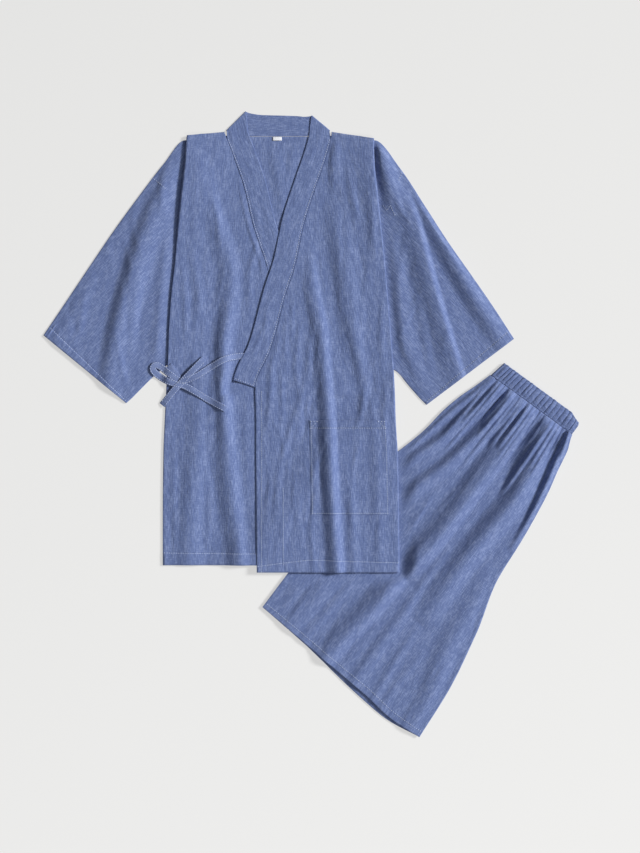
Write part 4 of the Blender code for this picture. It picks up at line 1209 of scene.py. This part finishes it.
def stitch(name, over, paths):
    """Stitches paths onto the named pieces of cloth, as one plain mesh."""
    sizes = bpy.context.scene.jinbei_sizes
    points, edges = laid_lines(search_trees(over), paths)
    lines = bpy.data.meshes.new(name + "_lines")
    lines.from_pydata(points, edges, [])
    guide = bpy.data.objects.new(name + "_lines", lines)
    bpy.context.collection.objects.link(guide)
    tree = stitch_tree(finish_named("cotton topstitching thread"))
    nodes = guide.modifiers.new("Topstitching", "NODES")
    nodes.node_group = tree
    nodes[input_identifier(tree, "Stitch Length")] = sizes.stitch_length
    nodes[input_identifier(tree, "Gap")] = sizes.stitch_gap
    nodes[input_identifier(tree, "Thread Width")] = sizes.thread_width
    graph = bpy.context.evaluated_depsgraph_get()
    mesh = bpy.data.meshes.new_from_object(guide.evaluated_get(graph))
    bpy.data.objects.remove(guide)
    mesh.name = name
    made = bpy.data.objects.new(name, mesh)
    bpy.context.collection.objects.link(made)
    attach(made, "root")
    return made


# Finishes

def linear(hex_colour):
    """An sRGB hex colour as the linear one that the shader takes."""
    parts = [int(hex_colour[i:i + 2], 16) / 255 for i in (0, 2, 4)]
    return (*[c / 12.92 if c <= 0.04045 else ((c + 0.055) / 1.055) ** 2.4 for c in parts], 1.0)


def new_finish(name):
    made = bpy.data.materials.new(name)
    made.use_nodes = True
    tree = made.node_tree
    shader = tree.nodes["Principled BSDF"]
    shader.inputs["Metallic"].default_value = 0.0
    return made, tree, shader


def chambray_finish(name, pale):
    """Cotton chambray, plain-woven from blue warp and white weft, washed and unpressed.

    It gives the eye a heathered blue: uneven threads show as short pale and dark streaks along both
    ways of the weave, under a soft matt fuzz.
    """
    colours = bpy.context.scene.jinbei_colours
    made, tree, shader = new_finish(name)

    def toward_weft(hex_colour):
        """A colour of the cloth, mixed towards the weft colour by the given share."""
        return tuple(c + (w - c) * pale for c, w in zip(linear(hex_colour), linear(colours.weft)))

    grain = add(tree, "ShaderNodeUVMap", uv_map="grain").outputs[0]

    def streaks(fine, long, turned, detail, seed):
        """Noise drawn out along the warp, or along the weft where turned; sizes in millimetres."""
        scale = (1 / (long * MM), 1 / (fine * MM), 1.0) if turned else (1 / (fine * MM), 1 / (long * MM), 1.0)
        mapped = add(tree, "ShaderNodeMapping", {"Vector": grain, "Scale": scale, "Location": (seed, seed * 2.3, 0)})
        return add(tree, "ShaderNodeTexNoise",
                   {"Vector": mapped.outputs[0], "Scale": 1.0, "Detail": detail, "Roughness": 0.6},
                   noise_dimensions="2D").outputs["Fac"]

    # Threads lie 0.4 mm apart; they are drawn about 1.7 mm apart, the finest that shows.
    warp = streaks(1.7, 12.0, False, 2.0, 3.0)
    weft = streaks(1.9, 8.0, True, 2.0, 9.0)
    both = add(tree, "ShaderNodeMath", {0: weft, 1: 0.6, 2: warp}, operation="MULTIPLY_ADD").outputs[0]
    blotch = streaks(11.0, 24.0, False, 3.0, 17.0)
    tone = add(tree, "ShaderNodeMath", {0: blotch, 1: 0.6, 2: both}, operation="MULTIPLY_ADD").outputs[0]
    tone = add(tree, "ShaderNodeMapRange",
               {"Value": tone, "From Min": 0.75, "From Max": 1.40}).outputs[0]
    ramp = add(tree, "ShaderNodeValToRGB", {"Fac": tone})
    stops = ramp.color_ramp.elements
    stops[0].position, stops[0].color = 0.0, toward_weft(colours.warp)
    stops[1].position, stops[1].color = 1.0, linear(colours.weft)
    stops.new(0.5).color = toward_weft(colours.cloth)
    slub = streaks(2.2, 22.0, False, 1.0, 31.0)
    slub = add(tree, "ShaderNodeMapRange",
               {"Value": slub, "From Min": 0.66, "From Max": 0.80, "To Max": 0.4}).outputs[0]
    colour = add(tree, "ShaderNodeMix", {0: slub, 6: ramp.outputs[0], 7: linear(colours.weft)}, data_type="RGBA")
    tree.links.new(colour.outputs[2], shader.inputs["Base Color"])
    crinkle = streaks(7.0, 16.0, False, 3.0, 51.0)
    height = add(tree, "ShaderNodeMath", {0: crinkle, 1: 2.2, 2: both}, operation="MULTIPLY_ADD").outputs[0]
    bump = add(tree, "ShaderNodeBump", {"Height": height, "Strength": 0.55, "Distance": 0.0006})
    tree.links.new(bump.outputs[0], shader.inputs["Normal"])
    shader.inputs["Roughness"].default_value = 0.92
    shader.inputs["IOR"].default_value = 1.47
    shader.inputs["Sheen Weight"].default_value = 0.12
    shader.inputs["Sheen Roughness"].default_value = 0.5
    return made


def thread_finish():
    """Pale cotton thread, spun and slightly glossy: it shows as a fine light line of beads."""
    made, tree, shader = new_finish("cotton topstitching thread")
    place = add(tree, "ShaderNodeTexCoord").outputs["Object"]
    ply = add(tree, "ShaderNodeTexNoise", {"Vector": place, "Scale": 900.0, "Detail": 1.0}).outputs["Fac"]
    tint = linear(bpy.context.scene.jinbei_colours.thread)
    shade = (tint[0] * 0.72, tint[1] * 0.74, tint[2] * 0.78, 1.0)
    colour = add(tree, "ShaderNodeMix", {0: ply, 6: shade, 7: tint}, data_type="RGBA")
    tree.links.new(colour.outputs[2], shader.inputs["Base Color"])
    shader.inputs["Roughness"].default_value = 0.6
    shader.inputs["IOR"].default_value = 1.47
    return made


def label_finish():
    """White polyester satin tape, loom woven: smooth and a little shiny, with fine cross ribs."""
    made, tree, shader = new_finish("woven polyester satin")
    grain = add(tree, "ShaderNodeUVMap", uv_map="grain").outputs[0]
    ribs = add(tree, "ShaderNodeTexWave", {"Vector": grain, "Scale": 520.0, "Distortion": 0.6},
               bands_direction="X").outputs["Fac"]
    tint = linear(bpy.context.scene.jinbei_colours.label)
    shade = (tint[0] * 0.86, tint[1] * 0.88, tint[2] * 0.92, 1.0)
    colour = add(tree, "ShaderNodeMix", {0: ribs, 6: shade, 7: tint}, data_type="RGBA")
    tree.links.new(colour.outputs[2], shader.inputs["Base Color"])
    bump = add(tree, "ShaderNodeBump", {"Height": ribs, "Strength": 0.3, "Distance": 0.0001})
    tree.links.new(bump.outputs[0], shader.inputs["Normal"])
    shader.inputs["Roughness"].default_value = 0.42
    shader.inputs["IOR"].default_value = 1.55
    return made


def floor_finish():
    """Sanded pale acrylic floor. Its emission is painted light: an even glow that washes out the set's cast shadows,
    a little brighter towards the lower right as a painted fall of light.
    """
    made, tree, shader = new_finish("sanded acrylic floor, painted glow")
    place = add(tree, "ShaderNodeTexCoord").outputs["Object"]
    mottle = add(tree, "ShaderNodeTexNoise", {"Vector": place, "Scale": 2.0, "Detail": 2.0}).outputs["Fac"]
    tint = linear(bpy.context.scene.jinbei_colours.floor)
    shade = (tint[0] * 0.98, tint[1] * 0.98, tint[2] * 0.98, 1.0)
    colour = add(tree, "ShaderNodeMix", {0: mottle, 6: shade, 7: tint}, data_type="RGBA")
    tree.links.new(colour.outputs[2], shader.inputs["Base Color"])
    # Painted light: the floor glows, brighter towards the lower right, standing in for the lamps' falloff and fading
    # cast shadows.
    toward = add(tree, "ShaderNodeVectorMath", {0: place, 1: (0.6, -0.8, 0.0)}, operation="DOT_PRODUCT")
    painted_glow = add(tree, "ShaderNodeMath", {0: toward.outputs["Value"], 1: 0.035, 2: 0.525}, operation="MULTIPLY_ADD")
    tree.links.new(painted_glow.outputs[0], shader.inputs["Emission Strength"])
    shader.inputs["Emission Color"].default_value = (1.0, 0.995, 0.985, 1.0)
    shader.inputs["Roughness"].default_value = 1.0
    shader.inputs["Specular IOR Level"].default_value = 0.2
    return made


# Operators

class JINBEI_OT_finishes(bpy.types.Operator):
    """Makes the cloth, thread, label and floor finishes"""
    bl_idname = "jinbei.finishes"
    bl_label = "Finishes"

    def execute(self, context):
        chambray_finish("cotton chambray, slubbed", 0.0)
        # The ties' finish: the same chambray with its colours mixed 0.3 of the way towards the weft colour.
        chambray_finish("cotton chambray, paler tint", 0.3)
        thread_finish()
        label_finish()
        floor_finish()
        return {"FINISHED"}


class JINBEI_OT_back(bpy.types.Operator):
    """Makes the back of the jacket and the size label at its neck"""
    bl_idname = "jinbei.back"
    bl_label = "Back and label"

    def execute(self, context):
        back = shell("jacket_back", back_cloth(), finish_named("cotton chambray, slubbed"))
        give(back, "jacket_back")
        width, height = LABEL_SIZE
        x, y = LABEL_AT
        across, down = np.meshgrid(np.linspace(-0.5, 0.5, 15), np.linspace(-0.5, 0.5, 7))
        bow = 0.5 * np.cos(np.pi * across) ** 0.5
        points = np.stack([x + across * width, y + down * height, CLOTH / 2 + PITCH + 0.15 + bow], axis=2)
        label = shell("size_label", cloth_of(points, 0.5), finish_named("woven polyester satin"))
        give(label, "size_label")
        return {"FINISHED"}


class JINBEI_OT_fronts(bpy.types.Operator):
    """Makes the two wrapped fronts of the jacket"""
    bl_idname = "jinbei.fronts"
    bl_label = "Fronts"

    def execute(self, context):
        for side in (-1, 1):
            front = Front(side)
            made = shell(front.name + "_front", front.cloth(), finish_named("cotton chambray, slubbed"))
            give(made, front.name + "_front")
        return {"FINISHED"}


class JINBEI_OT_collar(bpy.types.Operator):
    """Makes the collar band round the neck and down both fronts"""
    bl_idname = "jinbei.collar"
    bl_label = "Collar"

    def execute(self, context):
        made = shell("collar", collar_cloth(Front(-1), Front(1)), finish_named("cotton chambray, slubbed"))
        give(made, "collar")
        return {"FINISHED"}


class JINBEI_OT_sleeves(bpy.types.Operator):
    """Makes the two wide sleeves"""
    bl_idname = "jinbei.sleeves"
    bl_label = "Sleeves"

    def execute(self, context):
        tables = (
            (-1, "right_sleeve", RIGHT_SLEEVE, RIGHT_SLEEVE_FOLDS, RIGHT_SLEEVE_CREASES, RIGHT_SLEEVE_SCATTER),
            (1, "left_sleeve", LEFT_SLEEVE, LEFT_SLEEVE_FOLDS, LEFT_SLEEVE_CREASES, LEFT_SLEEVE_SCATTER),
        )
        for side, name, rings, folds, creases, scatter in tables:
            small = list(creases) + [fold for kind in scatter for fold in scattered(kind)]
            cloth = sleeve_cloth(side, rings, folds, small, Front(side))
            made = shell(name, cloth, finish_named("cotton chambray, slubbed"), around=True)
            give(made, name)
        return {"FINISHED"}


class JINBEI_OT_pocket(bpy.types.Operator):
    """Makes the patch pocket on the left front"""
    bl_idname = "jinbei.pocket"
    bl_label = "Pocket"

    def execute(self, context):
        made = shell("pocket", pocket_cloth(Front(1)), finish_named("cotton chambray, slubbed"))
        give(made, "pocket")
        return {"FINISHED"}


class JINBEI_OT_shorts(bpy.types.Operator):
    """Makes the folded legs and the gathered waistband of the shorts"""
    bl_idname = "jinbei.shorts"
    bl_label = "Shorts"

    def execute(self, context):
        cotton = finish_named("cotton chambray, slubbed")
        hem = np.array([0, 4, 8, 12, 15, 17.2, 18.3, 19, 19.7, 20.8, 23, 27]) * 10.5 / 19 / (LEG_LENGTH - LEG_TOP)
        stations = np.concatenate([np.linspace(0, 1 - hem[-1] - 0.004, 160), 1 - hem[::-1]])
        upper = shell("left_leg", leg_cloth(3, np.linspace(0, 1, 118), stations, True), cotton)
        give(upper, "left_leg")
        under = shell("right_leg", leg_cloth(1, np.linspace(0, 1, 30), np.linspace(0, 1, 50), False), cotton)
        give(under, "right_leg")
        band = shell("waistband", waistband_cloth(), cotton, around=True)
        give(band, "waistband")
        return {"FINISHED"}


class JINBEI_OT_ties(bpy.types.Operator):
    """Makes the two tie straps and lays their bow on the right front"""
    bl_idname = "jinbei.ties"
    bl_label = "Ties"

    def execute(self, context):
        cotton = finish_named("cotton chambray, paler tint")
        trees = search_trees(["right_front", "right_sleeve"])
        front = shell("front_tie", strap_cloth(np.array(strap_rows(strap_line(FRONT_TIE), trees))), cotton)
        give(front, "front_tie")
        side = shell("side_tie", strap_cloth(side_tie_points(trees)), cotton)
        give(side, "side_tie")
        return {"FINISHED"}


class JINBEI_OT_stitching(bpy.types.Operator):
    """Sews the rows of topstitching on the jacket and the shorts"""
    bl_idname = "jinbei.stitching"
    bl_label = "Stitching"

    def execute(self, context):
        right, left = Front(-1), Front(1)

        def hem_line(front, start, end):
            xs = np.linspace(start, end, 60)
            return [(x, front.hem + float(smooth(front.hem_depth, "depth", x))) for x in xs]

        def pocket_point(share, y):
            s = POCKET_SHARES[0] + share * (POCKET_SHARES[1] - POCKET_SHARES[0])
            x, py, _ = left.top(np.array(s), np.array(float(y)))
            return float(x), float(py)

        def beside_collar(front, low, high, inward):
            ys = np.linspace(low, high, 90)
            return [(front.side * (float(front.seam(y)) - inward), y) for y in ys]

        def cuff_line(side, rings, start, end):
            a, b = rings[-2], rings[-1]
            back = CUFF_DEPTH / 72.0
            path = []
            for s in np.linspace(start, end, 40):
                outer = (b.under_out + s * (b.top_out - b.under_out), b.under_y + s * (b.top_y - b.under_y))
                inner = (a.under_out + s * (a.top_out - a.under_out), a.under_y + s * (a.top_y - a.under_y))
                path.append((side * (outer[0] + (inner[0] - outer[0]) * back),
                             outer[1] + (inner[1] - outer[1]) * back))
            return path

        def strap_edges(route):
            line = strap_line(route)[2:-2, :2]
            run = np.gradient(line, axis=0)
            side = np.stack([run[:, 1], -run[:, 0]], axis=1) / np.linalg.norm(run, axis=1, keepdims=True)
            return [line + side * inset for inset in (-4.3, 4.3)]

        low, high = POCKET_Y
        bottom, mouth = low + 2.5, high - 2
        hem_y = high - 13
        jacket = [
            hem_line(right, -196, -41),
            hem_line(left, -37, 200),
            [(-31, y) for y in np.linspace(0, 304, 60)],
            [(6, y) for y in np.linspace(12, 140, 40)],
            beside_collar(right, 520, 732, 2.4),
            beside_collar(left, 318, 732, 2.4),
            [pocket_point(s, hem_y) for s in np.linspace(0.01, 0.99, 40)],
            [pocket_point(0.02, y) for y in np.linspace(bottom, mouth, 40)],
            [pocket_point(0.98, y) for y in np.linspace(bottom, mouth, 40)],
            [pocket_point(s, bottom) for s in np.linspace(0.02, 0.98, 40)],
            [pocket_point(0.02, hem_y), pocket_point(0.10, mouth)],
            [pocket_point(0.98, hem_y), pocket_point(0.90, mouth)],
            [pocket_point(0.02, mouth), pocket_point(0.10, mouth)],
            [pocket_point(0.98, mouth), pocket_point(0.90, mouth)],
            cuff_line(-1, RIGHT_SLEEVE, 0.02, 0.98),
            cuff_line(1, LEFT_SLEEVE, 0.02, 0.98),
            [(-46, 316), (-75, 326.5)],
            [(207, 676), (202, 664)],
            [(176, 620), (182, 612), (187, 621), (195, 605)],
            [(-216, 668), (-205, 659), (-195, 650)],
        ]
        over = ["jacket_back", "right_front", "left_front", "collar", "right_sleeve", "left_sleeve", "pocket"]
        stitch("jacket_stitching", over, jacket)
        hem = []
        for v in np.linspace(-166, 170, 70):
            u = float(smooth(SHORTS_HEM, "u", v)) - float(smooth(SHORTS_HEM_DEPTH, "depth", v))
            hem.append(from_shorts(u, v))
        stitch("shorts_stitching", ["left_leg", "left_front"], [hem])
        stitch("tie_stitching", ["front_tie", "side_tie"], strap_edges(FRONT_TIE) + strap_edges(SIDE_TIE_BACK))
        return {"FINISHED"}


class JINBEI_OT_stage(bpy.types.Operator):
    """Makes the floor, the lights and the camera above the set"""
    bl_idname = "jinbei.stage"
    bl_label = "Stage"

    def execute(self, context):
        scene = context.scene
        low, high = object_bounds()
        centre = (Vector(low) + Vector(high)) / 2
        mesh = bpy.data.meshes.new("floor")
        half = 6.0
        mesh.from_pydata([(-half, -half, 0), (half, -half, 0), (half, half, 0), (-half, half, 0)], [], [(0, 1, 2, 3)])
        mesh.materials.append(finish_named("sanded acrylic floor, painted glow"))
        floor = bpy.data.objects.new("floor", mesh)
        floor.location = (0, 0, -0.0002)
        context.collection.objects.link(floor)
        floor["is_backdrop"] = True
        camera = bpy.data.cameras.new("camera")
        camera.sensor_fit = "HORIZONTAL"
        camera.sensor_width = 36.0
        view_height, view_width = 3.2, 1.088
        camera.lens = camera.sensor_width * view_height / view_width
        camera.clip_end = 50.0
        eye = bpy.data.objects.new("camera", camera)
        eye.location = (centre.x + 0.0153, centre.y - 0.0040, view_height)
        context.collection.objects.link(eye)
        scene.camera = eye

        def soft_light(name, size, power, place, tint):
            light = bpy.data.lights.new(name, "AREA")
            light.shape = "DISK"
            light.size = size
            light.energy = power
            light.color = tint
            lamp = bpy.data.objects.new(name, light)
            lamp.location = place
            lamp.rotation_euler = (centre - Vector(place)).to_track_quat("-Z", "Y").to_euler()
            lamp.visible_camera = False
            context.collection.objects.link(lamp)

        key = bpy.data.lights.new("key", "SUN")
        key.energy = 4.1
        key.angle = math.radians(13)
        lamp = bpy.data.objects.new("key", key)
        lamp.rotation_euler = Vector((1.0, 0.30, 0.63)).to_track_quat("Z", "Y").to_euler()
        context.collection.objects.link(lamp)
        soft_light("fill", 2.5, 50.0, (2.2, -3.0, 4.0), (0.98, 0.99, 1.0))
        world = bpy.data.worlds.new("studio")
        world.use_nodes = True
        world.node_tree.nodes["Background"].inputs["Color"].default_value = (0.93, 0.94, 0.96, 1.0)
        world.node_tree.nodes["Background"].inputs["Strength"].default_value = 0.21
        scene.world = world
        scene.view_settings.view_transform = "Standard"
        return {"FINISHED"}


class JINBEI_PT_panel(bpy.types.Panel):
    """Lists the set's sizes, colours and pieces"""
    bl_idname = "JINBEI_PT_panel"
    bl_label = "Jinbei set"
    bl_space_type = "VIEW_3D"
    bl_region_type = "UI"
    bl_category = "Jinbei"

    def draw(self, context):
        for group in (context.scene.jinbei_sizes, context.scene.jinbei_colours):
            for name in group.__annotations__:
                self.layout.prop(group, name)
        for operator in OPERATORS:
            self.layout.operator(operator.bl_idname)


OPERATORS = (
    JINBEI_OT_finishes,
    JINBEI_OT_back,
    JINBEI_OT_fronts,
    JINBEI_OT_collar,
    JINBEI_OT_sleeves,
    JINBEI_OT_pocket,
    JINBEI_OT_shorts,
    JINBEI_OT_ties,
    JINBEI_OT_stitching,
    JINBEI_OT_stage,
)
CLASSES = (JinbeiSizes, JinbeiColours, *OPERATORS, JINBEI_PT_panel)


def register():
    for cls in CLASSES:
        bpy.utils.register_class(cls)
    bpy.types.Scene.jinbei_sizes = bpy.props.PointerProperty(type=JinbeiSizes)
    bpy.types.Scene.jinbei_colours = bpy.props.PointerProperty(type=JinbeiColours)


def unregister():
    del bpy.types.Scene.jinbei_colours
    del bpy.types.Scene.jinbei_sizes
    for cls in reversed(CLASSES):
        bpy.utils.unregister_class(cls)


def main():
    register()
    for name in ("finishes", "back", "fronts", "collar", "sleeves", "pocket", "shorts", "ties",
                 "stitching", "stage"):
        getattr(bpy.ops.jinbei, name)()


if __name__ == "__main__":
    main()
